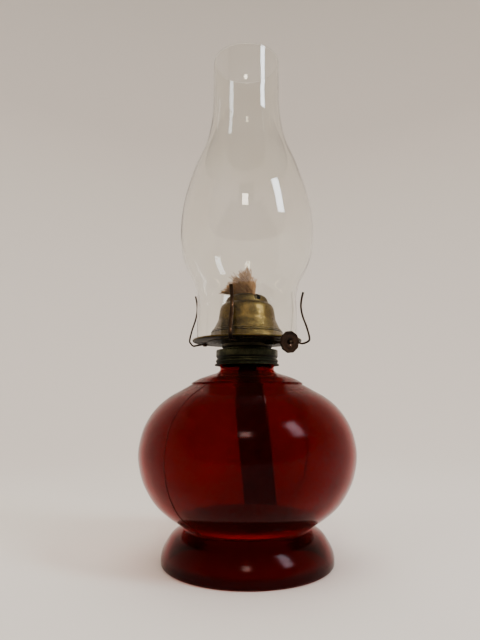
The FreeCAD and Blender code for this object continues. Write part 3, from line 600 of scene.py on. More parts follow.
def collar_outline():
    """Rolled brass channel: a rounded top, a groove, a bead and a flared skirt."""
    top = COLLAR_TOP
    low = top - COLLAR_HEIGHT
    outer = COLLAR_RADIUS
    groove = outer - COLLAR_GROOVE
    corners = [
        (COLLAR_BORE, top - 0.5 * MM), (COLLAR_BORE + 0.6 * MM, top), (outer - 0.2 * MM, top),
        (outer, top - 0.9 * MM), (outer, top - 5.1 * MM), (groove, top - 6.1 * MM), (groove, top - 6.9 * MM),
        (outer + 0.1 * MM, top - 7.7 * MM), (outer + 0.1 * MM, top - 9.1 * MM),
        (groove + 0.3 * MM, top - 10.0 * MM), (outer + 1.0 * MM, low + 0.8 * MM), (outer + 1.0 * MM, low),
        (outer - 0.2 * MM, low + 0.3 * MM), (groove - 0.4 * MM, low + 1.5 * MM),
        (groove - COLLAR_SHEET, top - COLLAR_SHEET), (COLLAR_BORE + COLLAR_SHEET, top - COLLAR_SHEET),
        (COLLAR_BORE + COLLAR_SHEET, top - THREAD_LENGTH - 1.5 * MM),
        (COLLAR_BORE, top - THREAD_LENGTH - 1.5 * MM),
    ]
    return soften(corners, 0.7 * MM, 4)


def seat_outline():
    """The plain ring that bears on the collar."""
    return soften([(ring_high.x - 1.6 * MM, ring_low.z), (ring_high.x - 0.2 * MM, ring_low.z),
                   (ring_high.x, ring_low.z + 0.8 * MM), (ring_high.x - 0.1 * MM, ring_high.z),
                   (ring_high.x - 1.6 * MM, ring_high.z)], 0.5 * MM, 4)


def gallery_outline():
    """Flat disc whose edge is rolled over into a hollow bead, open underneath."""
    under = gallery_high.z - RIM_ROLL * 1.75
    centre = GALLERY_RADIUS - RIM_ROLL
    middle = under + RIM_ROLL * 0.75
    top = DOME_FOOT
    roll = [(centre + RIM_ROLL * math.sin(a), middle + RIM_ROLL * math.cos(a))
            for a in (math.radians(-20 + 24 * i) for i in range(12))]
    inner = [(centre + 0.45 * RIM_ROLL * math.sin(a), middle + 0.45 * RIM_ROLL * math.cos(a))
             for a in (math.radians(244 - 40 * i) for i in range(7))]
    plate = [(GALLERY_BORE, top - GALLERY_SHEET), (GALLERY_BORE, top), (centre - 1.5 * MM, top)]
    return plate + roll + inner + [(centre - 1.2 * MM, top - GALLERY_SHEET)]


def basket_outline():
    """Shallow bowl between the cup of the burner and the gallery."""
    low = basket_low.z
    high = basket_high.z
    rim = basket_high.x
    wall = BASKET_WALL
    bend = low + 2.6 * MM
    return soften([(BASKET_BORE, low), (wall - 0.3 * MM, low), (wall, low + 0.6 * MM), (wall, bend),
                   (rim, high - SHEET), (rim, high), (rim - 1.2 * MM, high), (wall - SHEET, bend + SHEET),
                   (wall - SHEET, low + SHEET), (BASKET_BORE, low + SHEET)], 0.4 * MM, 3)


def bell_line():
    """The bell over its beads: hollow flank, wall, shoulder and cap."""
    low = DOME_FOOT + STEP_HEIGHT
    return smooth_line([
        (DOME_STEP - 1.2 * MM, low + 0.9 * MM), (DOME_WALL + 2.4 * MM, low + 4.7 * MM),
        (DOME_WALL + 0.6 * MM, low + 8.6 * MM), (DOME_WALL, low + 13.0 * MM),
        (DOME_WALL - 0.8 * MM, low + 17.2 * MM), (DOME_WALL - 2.2 * MM, low + 20.0 * MM),
        (DOME_SHOULDER + 0.4 * MM, low + 21.6 * MM), (DOME_SHOULDER - 0.2 * MM, DOME_TOP - 8.0 * MM),
        (DOME_SHOULDER - 1.0 * MM, DOME_TOP - 5.8 * MM), (DOME_SHOULDER - 2.8 * MM, DOME_TOP - 3.7 * MM),
        (DOME_SHOULDER * 0.55, DOME_TOP - 2.0 * MM), (0.0, DOME_TOP - 1.0 * MM)], BELL_STEPS)


def dome_line():
    """Outer line of the dome: flange, flared skirt, two beads and the bell."""
    low = DOME_FOOT + STEP_HEIGHT
    flange = dome_high.x
    top = DOME_FOOT + SHEET
    skirt = [(flange, DOME_FOOT), (flange, top), (DOME_STEP + SKIRT_FLARE + 0.4 * MM, top),
             (DOME_STEP + SKIRT_FLARE, top + 0.6 * MM), (DOME_STEP + 0.35 * SKIRT_FLARE, low - 2.2 * MM)]
    beads = rolled_bead(DOME_STEP + 0.1 * MM, low - 1.2 * MM, 0.45 * MM)
    beads += rolled_bead(DOME_STEP - 0.7 * MM, low + 0.1 * MM, 0.4 * MM)
    return skirt + beads + bell_line()


def dome_outline():
    """The dome's section. Both of its open ends lie on the axis, so that turning it closes the mesh."""
    outer = dome_line()
    skirt = smooth_line([(DOME_STEP + SKIRT_FLARE, DOME_FOOT), (DOME_STEP, DOME_FOOT + STEP_HEIGHT)], 4)
    inner = offset_line(skirt + bell_line()[BELL_STEPS:], SHEET)
    inner[-1] = (0.0, outer[-1][1] - SHEET)
    return inner[::-1] + outer


def oval_cutter(length, width, low, high):
    """Upright bar with round ends along the wick's width."""
    work = bmesh.new()
    straight = (length - width) / 2
    rim = []
    for side in (1, -1):
        for i in range(9):
            angle = math.pi * i / 8 - math.pi / 2
            along = side * (straight + width / 2 * math.cos(angle))
            aside = side * width / 2 * math.sin(angle)
            rim.append(wick_across * along + wick_normal * aside)
    bottom = [work.verts.new(p + Z_AXIS * low) for p in rim]
    top = [work.verts.new(p + Z_AXIS * high) for p in rim]
    work.faces.new(bottom)
    work.faces.new(top)
    for i in range(len(rim)):
        j = (i + 1) % len(rim)
        work.faces.new((bottom[i], bottom[j], top[j], top[i]))
    return shell_mesh(work, "cutter")


def carve(mesh, cutter):
    """Takes one closed mesh away from another."""
    body = bpy.data.objects.new("carved", mesh)
    tool = bpy.data.objects.new("tool", cutter)
    for thing in (body, tool):
        bpy.context.scene.collection.objects.link(thing)
    cut = body.modifiers.new("cut", "BOOLEAN")
    cut.operation = "DIFFERENCE"
    cut.solver = "EXACT"
    cut.object = tool
    graph = bpy.context.evaluated_depsgraph_get()
    result = bpy.data.meshes.new_from_object(body.evaluated_get(graph), depsgraph=graph)
    bpy.data.objects.remove(body)
    bpy.data.objects.remove(tool)
    return result


def punched(mesh, circles, hole, depth, height, material):
    """Runs circles of (radius, count) holes through a sheet, each circle turned by half a step."""
    for i, (radius, count) in enumerate(circles):
        values = {"Circle Radius": radius, "Count": count, "Hole Radius": hole, "Depth": depth,
                  "Height": height, "Phase": math.pi / count * (i % 2), "Material": material}
        mesh = grow("punched", PUNCHING, mesh, values)
    return mesh


# ---- prongs
PRONG_WIDTH = 2.6 * MM
PRONG_THICK = 1.3 * MM
PRONG_ROUND = 0.35 * MM
PRONG_OUT = 48.0 * MM
PRONG_LOW = 158.6 * MM
PRONG_TOUCH = 187.0 * MM
PRONG_TIP = 198.6 * MM
PRONG_LEAN = {"front": 1.0, "right": 3.5, "back": 1.5, "left": 0.0}   # degrees outwards
PRONG_SPREAD = {"front": 0.0, "right": 1.5, "back": 0.3, "left": -0.6}   # mm the loop is pulled out
# how far each prong is bent sideways at its loop and at its tip, in mm
PRONG_ASIDE = {"front": (1.8, 0.3), "right": (0, 0), "back": (0.4, 0.8), "left": (3.0, 6.0)}


def prong_line(root, level, spread):
    """A prong as (radius, height) from its root: under the gallery, round the loop and up the glass."""
    low = PRONG_LOW + PRONG_THICK / 2
    out = PRONG_OUT - PRONG_THICK / 2 + spread
    touch = FITTER_RADIUS + 0.3 * MM + PRONG_THICK / 2 + max(spread, 0.0)
    climb = PRONG_TOUCH - DOME_FOOT
    return smooth_line([
        (root - 2.2 * MM, level), (root + 2.2 * MM, level), (GALLERY_RADIUS - 1.3 * MM, low + 0.35 * MM),
        (GALLERY_RADIUS + 1.6 * MM, low), (out - 1.0 * MM, low + 1.7 * MM), (out, DOME_FOOT + 1.6 * MM),
        (touch + 0.70 * (out - touch), DOME_FOOT + 0.37 * climb),
        (touch + 0.22 * (out - touch), DOME_FOOT + 0.72 * climb), (touch, PRONG_TOUCH),
        (touch + 0.2 * MM, PRONG_TOUCH + 0.55 * (PRONG_TIP - PRONG_TOUCH)), (touch + 1.2 * MM, PRONG_TIP)], 6)


def prong_path(name):
    """Middle line of one prong, leaned outwards about its rivet and bent sideways."""
    pivot = Vector(joints["prong_%s_flex" % name]["pos_m"])
    root = math.hypot(pivot.x, pivot.y)
    outwards = Vector((pivot.x, pivot.y, 0)).normalized()
    lean = math.radians(PRONG_LEAN[name])
    aside = Z_AXIS.cross(outwards) * MM
    loop_aside, tip_aside = PRONG_ASIDE[name]
    path = []
    for radius, height in prong_line(root, pivot.z, PRONG_SPREAD[name] * MM):
        across = radius - root
        rise = height - pivot.z
        leaned = root + across * math.cos(lean) + rise * math.sin(lean)
        level = pivot.z + rise * math.cos(lean) - across * math.sin(lean)
        climbed = max(0.0, (level - DOME_FOOT) / (PRONG_TIP - DOME_FOOT))
        reached = 1.0 if climbed > 0 else min(1.0, max(0.0, (leaned - root) / (PRONG_OUT - root)))
        sideways = aside * (loop_aside * reached * (1 - climbed) + tip_aside * climbed)
        path.append(outwards * leaned + sideways + Z_AXIS * level)
    return path


def prong_mesh(name, material):
    """One prong as a strip with rounded edges."""
    values = {"Width": PRONG_WIDTH, "Thickness": PRONG_THICK, "Edge Round": PRONG_ROUND,
              "Material": material}
    return outward(grow("prong", STRIP, path_mesh([prong_path(name)]), values))


# ---- thumb wheel
WHEEL_RADIUS = 8.0 * MM
WHEEL_SIDES = 10
WHEEL_THICK = 1.7 * MM
WHEEL_BORE = 1.0 * MM
WHEEL_DISC = 0.985          # radius of the plain disc that the corners are softened towards
WHEEL_HOLLOW = 0.012        # depth of the hollow in each flat
WHEEL_STEPS = 120           # points round each ring of the disc


def wheel_radius(angle):
    """Distance to the edge of a ten-cornered disc whose flats are slightly hollow."""
    step = 2 * math.pi / WHEEL_SIDES
    inside = (angle + step / 2) % step - step / 2
    corner = math.cos(step / 2) / math.cos(step / 2 - abs(inside))
    hollow = WHEEL_HOLLOW * (1 - math.cos(2 * math.pi * inside / step)) / 2
    return WHEEL_RADIUS * (0.35 * WHEEL_DISC + 0.65 * corner - hollow)


def thumb_wheel_section():
    """Stamped disc: a raised rim bead, a sunk ring, and a dimple round the shaft's end."""
    half = WHEEL_THICK / 2
    bore = WHEEL_BORE / WHEEL_RADIUS
    return [
        (bore, half * 0.35), (0.26, half * 0.40), (0.33, half * 0.95), (0.40, half),
        (0.56, half * 0.96), (0.62, half * 0.80), (0.80, half * 0.80), (0.87, half * 0.96), (0.94, half),
        (0.985, half * 0.72), (1.0, half * 0.25), (1.0, -half * 0.25), (0.985, -half * 0.72), (0.94, -half),
        (0.40, -half), (0.30, -half), (bore, -half),
    ]


def thumb_wheel_mesh():
    low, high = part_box("thumb_wheel")
    along = ((low + high) / 2 - shaft_start).dot(shaft_out)
    centre = shaft_start + shaft_out * along
    turn = Z_AXIS.rotation_difference(shaft_out).to_matrix()
    work = bmesh.new()
    rings = []
    for share, height in thumb_wheel_section():
        ring = []
        for i in range(WHEEL_STEPS):
            angle = 2 * math.pi * i / WHEEL_STEPS
            radius = share * (WHEEL_RADIUS * (1 - share) + wheel_radius(angle) * share)
            ring.append(work.verts.new(centre + turn @ Vector((
                radius * math.cos(angle), radius * math.sin(angle), height))))
        rings.append(ring)
    for a, b in zip(rings, rings[1:] + rings[:1]):
        for i in range(WHEEL_STEPS):
            j = (i + 1) % WHEEL_STEPS
            work.faces.new((a[i], a[j], b[j], b[i]))
    return shell_mesh(work, "thumb_wheel")


# ---- wick
RIBS = 15                   # warp yarns across one face of the wick
RIB_POINTS = 7              # points round each yarn
RIB_HEIGHT = 0.34 * MM
BEAD_LENGTH = 1.7 * MM      # of one warp float between two wefts
TWIST_DROP = 42 * MM        # the hanging end turns over this much of its length
TAIL_TWIST = math.radians(52)
TAIL_DRIFT = 10 * MM        # to the right at its lower end
TAIL_BOW = 1.5 * MM
WOVEN_TOP = DOME_TOP + 1.5 * MM   # above this the wick has come undone
CROWN_LOCKS = 42
RIGHT_WISPS = (3,)          # a lock that stands up on the right instead
STRANDS_IN_LOCK = 9
STRAND_STEPS = 9            # points along one strand
STRAND_RADIUS = 0.27 * MM
STRAND_WAVE = 0.10 * MM
STRAND_WAVE_LENGTH = 1.9 * MM


def strap_ring():
    """Points round a ribbed strap as (across, normal, rib height share, rib number)."""
    half = WICK_THICK / 2 - RIB_HEIGHT
    width = WICK_WIDTH - WICK_THICK
    ring = []
    for face in (1, -1):
        for rib in range(RIBS):
            for i in range(RIB_POINTS):
                share = (rib + (i + 0.5) / RIB_POINTS) / RIBS - 0.5
                swell = math.sin(math.pi * (i + 0.5) / RIB_POINTS)
                ring.append((face * share * width, face * half, face * swell, rib + (face < 0)))
        for i in range(1, 6):
            angle = math.pi * i / 6
            ring.append((face * (width / 2 + half * math.sin(angle)), face * half * math.cos(angle), 0.0, 0))
    return ring


def woven_strap(name, low, high, bow, twist, drift):
    """Flat woven wick: warp ribs on both faces, each bulging between its wefts, staggered rib by rib.

    It turns by twist on its way down, bows by bow in its middle and drifts to the right by drift.
    """
    ring = strap_ring()
    steps = int((high - low) / (BEAD_LENGTH / 4))
    work = bmesh.new()
    rows = []
    for step in range(steps + 1):
        height = low + (high - low) * step / steps
        fallen = (high - height) / (high - low)
        shift = wick_normal * bow * math.sin(math.pi * step / steps) + Vector((drift * fallen ** 1.5, 0, 0))
        wound = min(1.0, (high - height) / TWIST_DROP)
        turned_by = Matrix.Rotation(twist * wound * wound * (3 - 2 * wound), 3, "Z")
        row = []
        for across, normal, swell, rib in ring:
            bead = 0.62 + 0.38 * math.cos(2 * math.pi * height / BEAD_LENGTH + math.pi * rib)
            edge = 1 + 0.012 * math.sin(2 * math.pi * height / (2 * BEAD_LENGTH))
            place = wick_across * across * edge + wick_normal * (normal + swell * RIB_HEIGHT * bead)
            row.append(work.verts.new(turned_by @ place + shift + Z_AXIS * height))
        rows.append(row)
    for lower, upper in zip(rows, rows[1:]):
        for i in range(len(ring)):
            j = (i + 1) % len(ring)
            work.faces.new((lower[i], lower[j], upper[j], upper[i]))
    work.faces.new(rows[0])
    work.faces.new(rows[-1])
    return shell_mesh(work, name)


def lock_shape(draw, lock):
    """Where one twisted lock starts, where it heads, how it curls and how long it is."""
    back = (lock + draw.random()) / CROWN_LOCKS
    face = draw.choice((-0.36, 0.36)) + draw.gauss(0, 0.10)
    root = wick_across * ((0.5 - back) * WICK_WIDTH * 0.94) + wick_normal * (face * WICK_THICK)
    root += Z_AXIS * (WOVEN_TOP - 2.0 * MM)
    lean = 0.20 if lock in RIGHT_WISPS else -0.22 - 1.05 * back ** 1.3 + draw.gauss(0, 0.14)
    heading = Vector((lean, draw.gauss(0, 0.15), 1.05 - 0.45 * back + draw.gauss(0, 0.08))).normalized()
    curl = Vector((-0.30 + draw.gauss(0, 0.40), draw.gauss(0, 0.28), -0.25 * back + draw.gauss(-0.1, 0.25)))
    length = (19.5 - 5.5 * back + draw.gauss(0, 1.5)) * MM
    return root, heading, curl, length


def strand_path(draw, root, heading, curl, length):
    """One loose strand that winds round the middle of its lock and strays from it towards its end."""
    spin = draw.uniform(0, 2 * math.pi)
    thick = draw.uniform(0.15, 0.85) * MM
    reach = length * draw.uniform(0.72, 1.04)
    aim = (heading + Vector((draw.gauss(0, 0.10), draw.gauss(0, 0.10), 0))).normalized()
    stray = Vector((draw.gauss(0, 0.30), draw.gauss(0, 0.30), draw.gauss(0, 0.2)))
    place = root.copy()
    path = []
    for step in range(STRAND_STEPS + 1):
        share = step / STRAND_STEPS
        turn = spin + 5.0 * share
        wide = thick * (1 - 0.35 * share) + 0.5 * MM * share * share
        path.append(place + wide * (wick_across * math.cos(turn) + wick_normal * math.sin(turn)))
        aim = (aim + (curl + stray * share) * (1.1 / STRAND_STEPS)).normalized()
        place = place + aim * (reach / STRAND_STEPS)
    return path


def crown_paths():
    """Loose strands of the frayed top, in twisted locks that fan out and fall over to the left."""
    paths = []
    draw = random.Random(11)
    for lock in range(CROWN_LOCKS):
        shape = lock_shape(draw, lock)
        paths += [strand_path(draw, *shape) for strand in range(STRANDS_IN_LOCK)]
    return paths


def crown_mesh(material):
    """The frayed end of the wick as wavy yarns."""
    values = {"Radius": STRAND_RADIUS, "Wave": STRAND_WAVE, "Wave Length": STRAND_WAVE_LENGTH,
              "Material": material}
    return outward(grow("crown", YARN, path_mesh(crown_paths()), values))


# ---- shader groups
# Near black mixed into faces that point down: painted shade.
UNDERSIDE_SHADE = (0.009, 0.007, 0.006, 1)
SOOT = (0.02, 0.014, 0.010, 1)


def object_place(tree):
    return put(tree, "ShaderNodeTexCoord").outputs["Object"]


def wear_group():
    """Where edges stick out, broken up by noise: 1 on a worn edge, 0 on a flat."""
    tree, given, out = new_tree("edge_wear", "ShaderNodeTree", [
        ("Radius", "Float"), ("Amount", "Float"), ("Break Scale", "Float"),
    ], [("Mask", "Float")])
    rounded = put(tree, "ShaderNodeBevel", {"Radius": given["Radius"]}, samples=4)
    plain = put(tree, "ShaderNodeNewGeometry")
    dot = put(tree, "ShaderNodeVectorMath", {0: rounded.outputs[0], 1: plain.outputs["Normal"]},
              operation="DOT_PRODUCT").outputs["Value"]
    edge = spread(tree, dot, 0.995, 0.80)
    broken = patchy(tree, object_place(tree), given["Break Scale"], 4.0, 0.38, 0.62)
    worn = times(tree, times(tree, edge, broken), given["Amount"])
    tree.links.new(worn, out["Mask"])
    return tree


def tarnish_roughness(tree, shade, fine, worn, polish):
    """Dark patches are rougher, worn edges and polished metal smoother."""
    rough = spread(tree, shade, 0.0, 1.0, 0.26, 0.58)
    grain = times(tree, minus(tree, fine, 0.5), 0.22)
    rough = plus(tree, rough, grain)
    rough = minus(tree, rough, times(tree, worn, 0.12))
    return minus(tree, rough, polish)


def tarnish_relief(tree, place, fine, pits):
    """Fine lines round the piece, as spinning leaves them, with grain and pits."""
    lines = noise(tree, stretched(tree, place, 14.0), 260.0, 3.0, 0.6)
    relief = times_plus(tree, lines, 0.35, times(tree, fine, 0.6))
    return minus(tree, relief, times(tree, pits, 0.8))


def tarnish_group():
    """Old metal: two tones in patches, fine mottling, pits, worn edges, and painted shade on faces that point
    down.
    """
    tree, given, out = new_tree("tarnish", "ShaderNodeTree", [
        ("Bright", "Color"), ("Dark", "Color"), ("Edge", "Color"),
        ("Patch Scale", "Float"), ("Darkness", "Float"), ("Wear", "Float"),
        ("Wear Radius", "Float"), ("Polish", "Float"), ("Underside Shade", "Float"),
    ], [("Color", "Color"), ("Roughness", "Float"), ("Height", "Float")])
    place = object_place(tree)
    patches = noise(tree, place, given["Patch Scale"], 6.0, 0.62)
    fine = noise(tree, place, times(tree, given["Patch Scale"], 9.0), 5.0, 0.7)
    speck_scale = times(tree, given["Patch Scale"], 16.0)
    speck = put(tree, "ShaderNodeTexVoronoi", {"Vector": place, "Scale": speck_scale}).outputs["Distance"]
    mottle = times_plus(tree, minus(tree, fine, 0.5), 0.55, patches)
    facing = height_in(tree, put(tree, "ShaderNodeNewGeometry").outputs["Normal"])
    # Faces that point down are darkened and mixed towards near black: painted shade.
    under = spread(tree, facing, 0.0, -0.6, 0.0, given["Underside Shade"])
    darkened = times_plus(tree, under, 0.3, plus(tree, mottle, given["Darkness"]))
    shade = spread(tree, darkened, 0.36, 0.68)
    base = mix_colour(tree, shade, given["Bright"], given["Dark"])
    pits = spread(tree, speck, 0.16, 0.02)
    pitted = mix_colour(tree, times(tree, pits, 0.35), base, given["Dark"])
    wear = put(tree, "ShaderNodeGroup", {
        "Radius": given["Wear Radius"], "Amount": given["Wear"], "Break Scale": 420.0}, node_tree=WEAR)
    worn = wear.outputs["Mask"]
    shaded_underside = mix_colour(tree, under, pitted, UNDERSIDE_SHADE)
    tree.links.new(mix_colour(tree, worn, shaded_underside, given["Edge"]), out["Color"])
    tree.links.new(tarnish_roughness(tree, shade, fine, worn, given["Polish"]), out["Roughness"])
    tree.links.new(tarnish_relief(tree, place, fine, pits), out["Height"])
    return tree


def dust_group():
    """Settled dust: 1 on surfaces that face up and have been left alone, 0 elsewhere."""
    tree, given, out = new_tree("settled_dust", "ShaderNodeTree", [
        ("Scale", "Float"), ("Start", "Float"), ("Full", "Float"),
        ("Lowest", "Float"),
    ], [("Mask", "Float")])
    place = object_place(tree)
    facing = height_in(tree, put(tree, "ShaderNodeNewGeometry").outputs["Normal"])
    upward = spread(tree, facing, given["Start"], given["Full"])
    highest = plus(tree, given["Lowest"], 0.03)
    above = spread(tree, height_in(tree, place), given["Lowest"], highest)
    broad = patchy(tree, place, given["Scale"], 5.0, 0.30, 0.66, 0.6)
    specks = noise(tree, place, times(tree, given["Scale"], 40.0), 3.0)
    grain = spread(tree, specks, 0.3, 0.7, 0.6, 1.0)
    lying = times(tree, times(tree, upward, above), broad)
    tree.links.new(times(tree, lying, grain), out["Mask"])
    return tree


# ---- materials
def new_material(name):
    material = bpy.data.materials.new(name)
    material.use_nodes = True
    tree = material.node_tree
    tree.nodes.clear()
    return material, tree, put(tree, "ShaderNodeOutputMaterial")


def solid_material(name, values):
    """A material of one Principled shader. Returns it, its tree and the shader."""
    material, tree, output = new_material(name)
    shader = put(tree, "ShaderNodeBsdfPrincipled", values)
    tree.links.new(shader.outputs[0], output.inputs["Surface"])
    return material, tree, shader


def wire(tree, shader, sockets):
    for label, value in sockets.items():
        tree.links.new(value, shader.inputs[label])


def glass_material(name, ior, shadow_tint):
    """Glass that casts a tinted shadow. Returns it, its tree and its Principled shader."""
    material, tree, output = new_material(name)
    glass = put(tree, "ShaderNodeBsdfPrincipled", {"Transmission Weight": 1.0, "IOR": ior, "Metallic": 0.0})
    through = put(tree, "ShaderNodeBsdfTransparent", {"Color": (*shadow_tint, 1)})
    path = put(tree, "ShaderNodeLightPath")
    both = put(tree, "ShaderNodeMixShader", {
        0: path.outputs["Is Shadow Ray"], 1: glass.outputs[0], 2: through.outputs[0]})
    tree.links.new(both.outputs[0], output.inputs["Surface"])
    return material, tree, glass


def bump(tree, height, strength, distance):
    return put(tree, "ShaderNodeBump", {
        "Height": height, "Strength": strength, "Distance": distance}).outputs[0]


def ruby_glass():
    """Moulded ruby glass: uneven colour, darker in the thick foot, painted shade on the foot's upright band,
    soft ripples and a dusty shoulder.
    """
    material, tree, glass = glass_material("ruby_glass", 1.18, (0.62, 0.06, 0.05))
    for label, value in (("Specular Tint", (0.50, 0.42, 0.46, 1)), ("Sheen Weight", 0.03),
                         ("Sheen Roughness", 0.5), ("Sheen Tint", (0.50, 0.20, 0.13, 1))):
        glass.inputs[label].default_value = value
    place = object_place(tree)
    height = height_in(tree, place)
    streaks = patchy(tree, place, 14.0, 3.0, 0.35, 0.70)
    colour = mix_colour(tree, streaks, (0.30, 0.002, 0.004, 1), (0.21, 0.001, 0.002, 1))
    thick = spread(tree, height, WAIST_HEIGHT + 3 * MM, WAIST_HEIGHT - 3 * MM)
    colour = mix_colour(tree, thick, colour, (0.15, 0.001, 0.002, 1))
    # The foot's upright band is painted darker than the lit top of the foot: painted shade.
    band = spread(tree, height, FOOT_BAND + 1.2 * MM, FOOT_BAND - 0.4 * MM)
    colour = mix_colour(tree, band, colour, (0.06, 0.001, 0.001, 1))
    dust = put(tree, "ShaderNodeGroup", {"Scale": 22.0, "Start": 0.15, "Full": 0.9, "Lowest": 0.095},
               node_tree=DUST).outputs[0]
    dusty = mix_colour(tree, times(tree, dust, 0.45), colour, (0.20, 0.05, 0.03, 1))
    smear = spread(tree, noise(tree, place, 60.0, 6.0, 0.7), 0.45, 0.75, 0.0, 0.06)
    rough = plus(tree, times_plus(tree, dust, 0.24, 0.12), smear)
    ripple = plus(tree, noise(tree, place, 26.0, 2.0),
                       times(tree, noise(tree, place, 320.0, 3.0), 0.05))
    wire(tree, glass, {"Base Color": dusty, "Roughness": rough, "Normal": bump(tree, ripple, 0.12, 0.003)})
    return material


def seam_ruby():
    """Thick dark ruby along the mould seam."""
    material, tree, ruby = solid_material("seam_ruby", {"IOR": 1.3, "Specular IOR Level": 0.15})
    place = object_place(tree)
    patches = patchy(tree, place, 90.0, 4.0, 0.35, 0.7)
    wire(tree, ruby, {
        "Base Color": mix_colour(tree, patches, (0.045, 0.003, 0.003, 1), (0.020, 0.002, 0.002, 1)),
        "Roughness": spread(tree, patches, 0.0, 1.0, 0.45, 0.70),
        "Normal": bump(tree, noise(tree, place, 500.0, 3.0), 0.2, 0.0003)})
    return material


def clear_glass():
    """Blown glass: nearly colourless, with faint smears and soft waves."""
    material, tree, glass = glass_material("clear_glass", 1.47, (0.93, 0.93, 0.90))
    place = object_place(tree)
    smoke = patchy(tree, place, 18.0, 4.0, 0.40, 0.75)
    waves = stretched(tree, place, 0.35)
    wire(tree, glass, {
        "Base Color": mix_colour(tree, smoke, (0.970, 0.968, 0.945, 1), (0.935, 0.925, 0.875, 1)),
        "Roughness": spread(tree, noise(tree, place, 75.0, 6.0, 0.7), 0.50, 0.80, 0.0, 0.07),
        "Normal": bump(tree, noise(tree, waves, 30.0, 2.0), 0.10, 0.003)})
    return material


def old_metal(name, bright, dark, edge, patch, darkness, wear, wear_radius=0.5 * MM):
    """Tarnished metal from its bright, dark and worn colours, and how large and how dark its patches are."""
    material, tree, metal = solid_material(name, {"Metallic": 1.0, "IOR": 1.5})
    # Every metal gets painted shade on its faces that point down.
    tarnish = put(tree, "ShaderNodeGroup", {
        "Bright": (*bright, 1), "Dark": (*dark, 1), "Edge": (*edge, 1), "Patch Scale": patch,
        "Darkness": darkness, "Wear": wear, "Wear Radius": wear_radius, "Polish": 0.0,
        "Underside Shade": 0.88}, node_tree=TARNISH).outputs
    wire(tree, metal, {
        "Base Color": tarnish["Color"], "Roughness": tarnish["Roughness"],
        "Normal": bump(tree, tarnish["Height"], 0.25, 0.0004)})
    return material


def cotton(name, clean, soiled, char_start, char_full):
    """Cotton that is scorched towards its top."""
    material, tree, cloth = solid_material(name, {"Roughness": 0.92, "Sheen Weight": 0.06, "IOR": 1.4})
    place = object_place(tree)
    thread = noise(tree, stretched(tree, place, 0.25), 1500.0, 4.0, 0.7)
    stain = patchy(tree, place, 160.0, 4.0, 0.35, 0.7)
    colour = mix_colour(tree, stain, (*clean, 1), (*soiled, 1))
    colour = mix_colour(tree, spread(tree, thread, 0.35, 0.65, 0.0, 0.55), colour, (*soiled, 1))
    uneven = times_plus(tree, noise(tree, place, 240.0, 3.0), 0.006, height_in(tree, place))
    char = spread(tree, uneven, char_start, char_full, 0.0, 0.9)
    wire(tree, cloth, {
        "Base Color": mix_colour(tree, char, colour, SOOT), "Normal": bump(tree, thread, 0.6, 0.0003)})
    return material


def plaster():
    """Old plaster: stained, grainy and dull."""
    material, tree, mass = solid_material("plaster", {"IOR": 1.5})
    place = object_place(tree)
    grain = noise(tree, place, 700.0, 5.0, 0.7)
    stain = patchy(tree, place, 120.0, 3.0, 0.35, 0.7)
    wire(tree, mass, {
        "Base Color": mix_colour(tree, stain, (0.62, 0.56, 0.46, 1), (0.40, 0.33, 0.24, 1)),
        "Roughness": spread(tree, grain, 0.3, 0.7, 0.78, 0.98),
        "Normal": bump(tree, grain, 0.5, 0.0003)})
    return material


def studio_paint():
    return solid_material("studio_paint", {"Base Color": (0.70, 0.635, 0.575, 1), "Roughness": 0.85})[0]


# ---- stage and light
COVE_RADIUS = 2.4
COVE_BEND = 1.7
COVE_HEIGHT = 2.6
COVE_FRONT = 0.9            # the cove is left open further to the front than this
ROOM_MIDDLE = Vector((0, 0, 1.2))
LAMP_MIDDLE = (0, 0, 0.24)


def make_stage():
    """A round pale floor that curves up into a wall, open towards the front."""
    line = [(0.0, 0.0), (COVE_RADIUS - COVE_BEND, 0.0)]
    line += [(COVE_RADIUS - COVE_BEND + COVE_BEND * math.sin(a), COVE_BEND * (1 - math.cos(a)))
             for a in (math.pi / 2 * i / 16 for i in range(1, 17))]
    line.append((COVE_RADIUS, COVE_HEIGHT))
    values = {"Segments": STAGE_STEPS, "Guide Radius": GUIDE_RADIUS, "Merge Distance": 0.01 * MM,
              "Material": studio_paint()}
    mesh = grow("studio_floor", TURNING, outline_mesh(line), values)
    work = bmesh.new()
    work.from_mesh(mesh)
    front = [f for f in work.faces if f.calc_center_median().y < -COVE_FRONT]
    bmesh.ops.delete(work, geom=front, context="FACES")
    away = [f for f in work.faces if f.normal.dot(f.calc_center_median() - ROOM_MIDDLE) > 0]
    bmesh.ops.reverse_faces(work, faces=away)
    work.to_mesh(mesh)
    work.free()
    floor = bpy.data.objects.new("studio_floor", mesh)
    bpy.context.scene.collection.objects.link(floor)


def bearing_place(bearing, rise, distance):
    """A place seen from the lamp: bearing from the front towards the right, and rise, in degrees."""
    bearing = math.radians(bearing)
    rise = math.radians(rise)
    flat = distance * math.cos(rise)
    level = LAMP_MIDDLE[2] + distance * math.sin(rise)
    return Vector((flat * math.sin(bearing), -flat * math.cos(bearing), level))


def soft_light(name, place, target, width, height, power, colour, mirrored):
    """A soft lamp. A fill light isn't mirrored in the glass."""
    data = bpy.data.lights.new(name, "AREA")
    data.shape = "RECTANGLE"
    data.size = width
    data.size_y = height
    data.energy = power
    data.color = colour
    light = bpy.data.objects.new(name, data)
    light.location = place
    light.rotation_euler = (Vector(target) - Vector(place)).to_track_quat("-Z", "Y").to_euler()
    light.visible_camera = False
    light.visible_glossy = mirrored
    light.visible_transmission = mirrored
    bpy.context.scene.collection.objects.link(light)


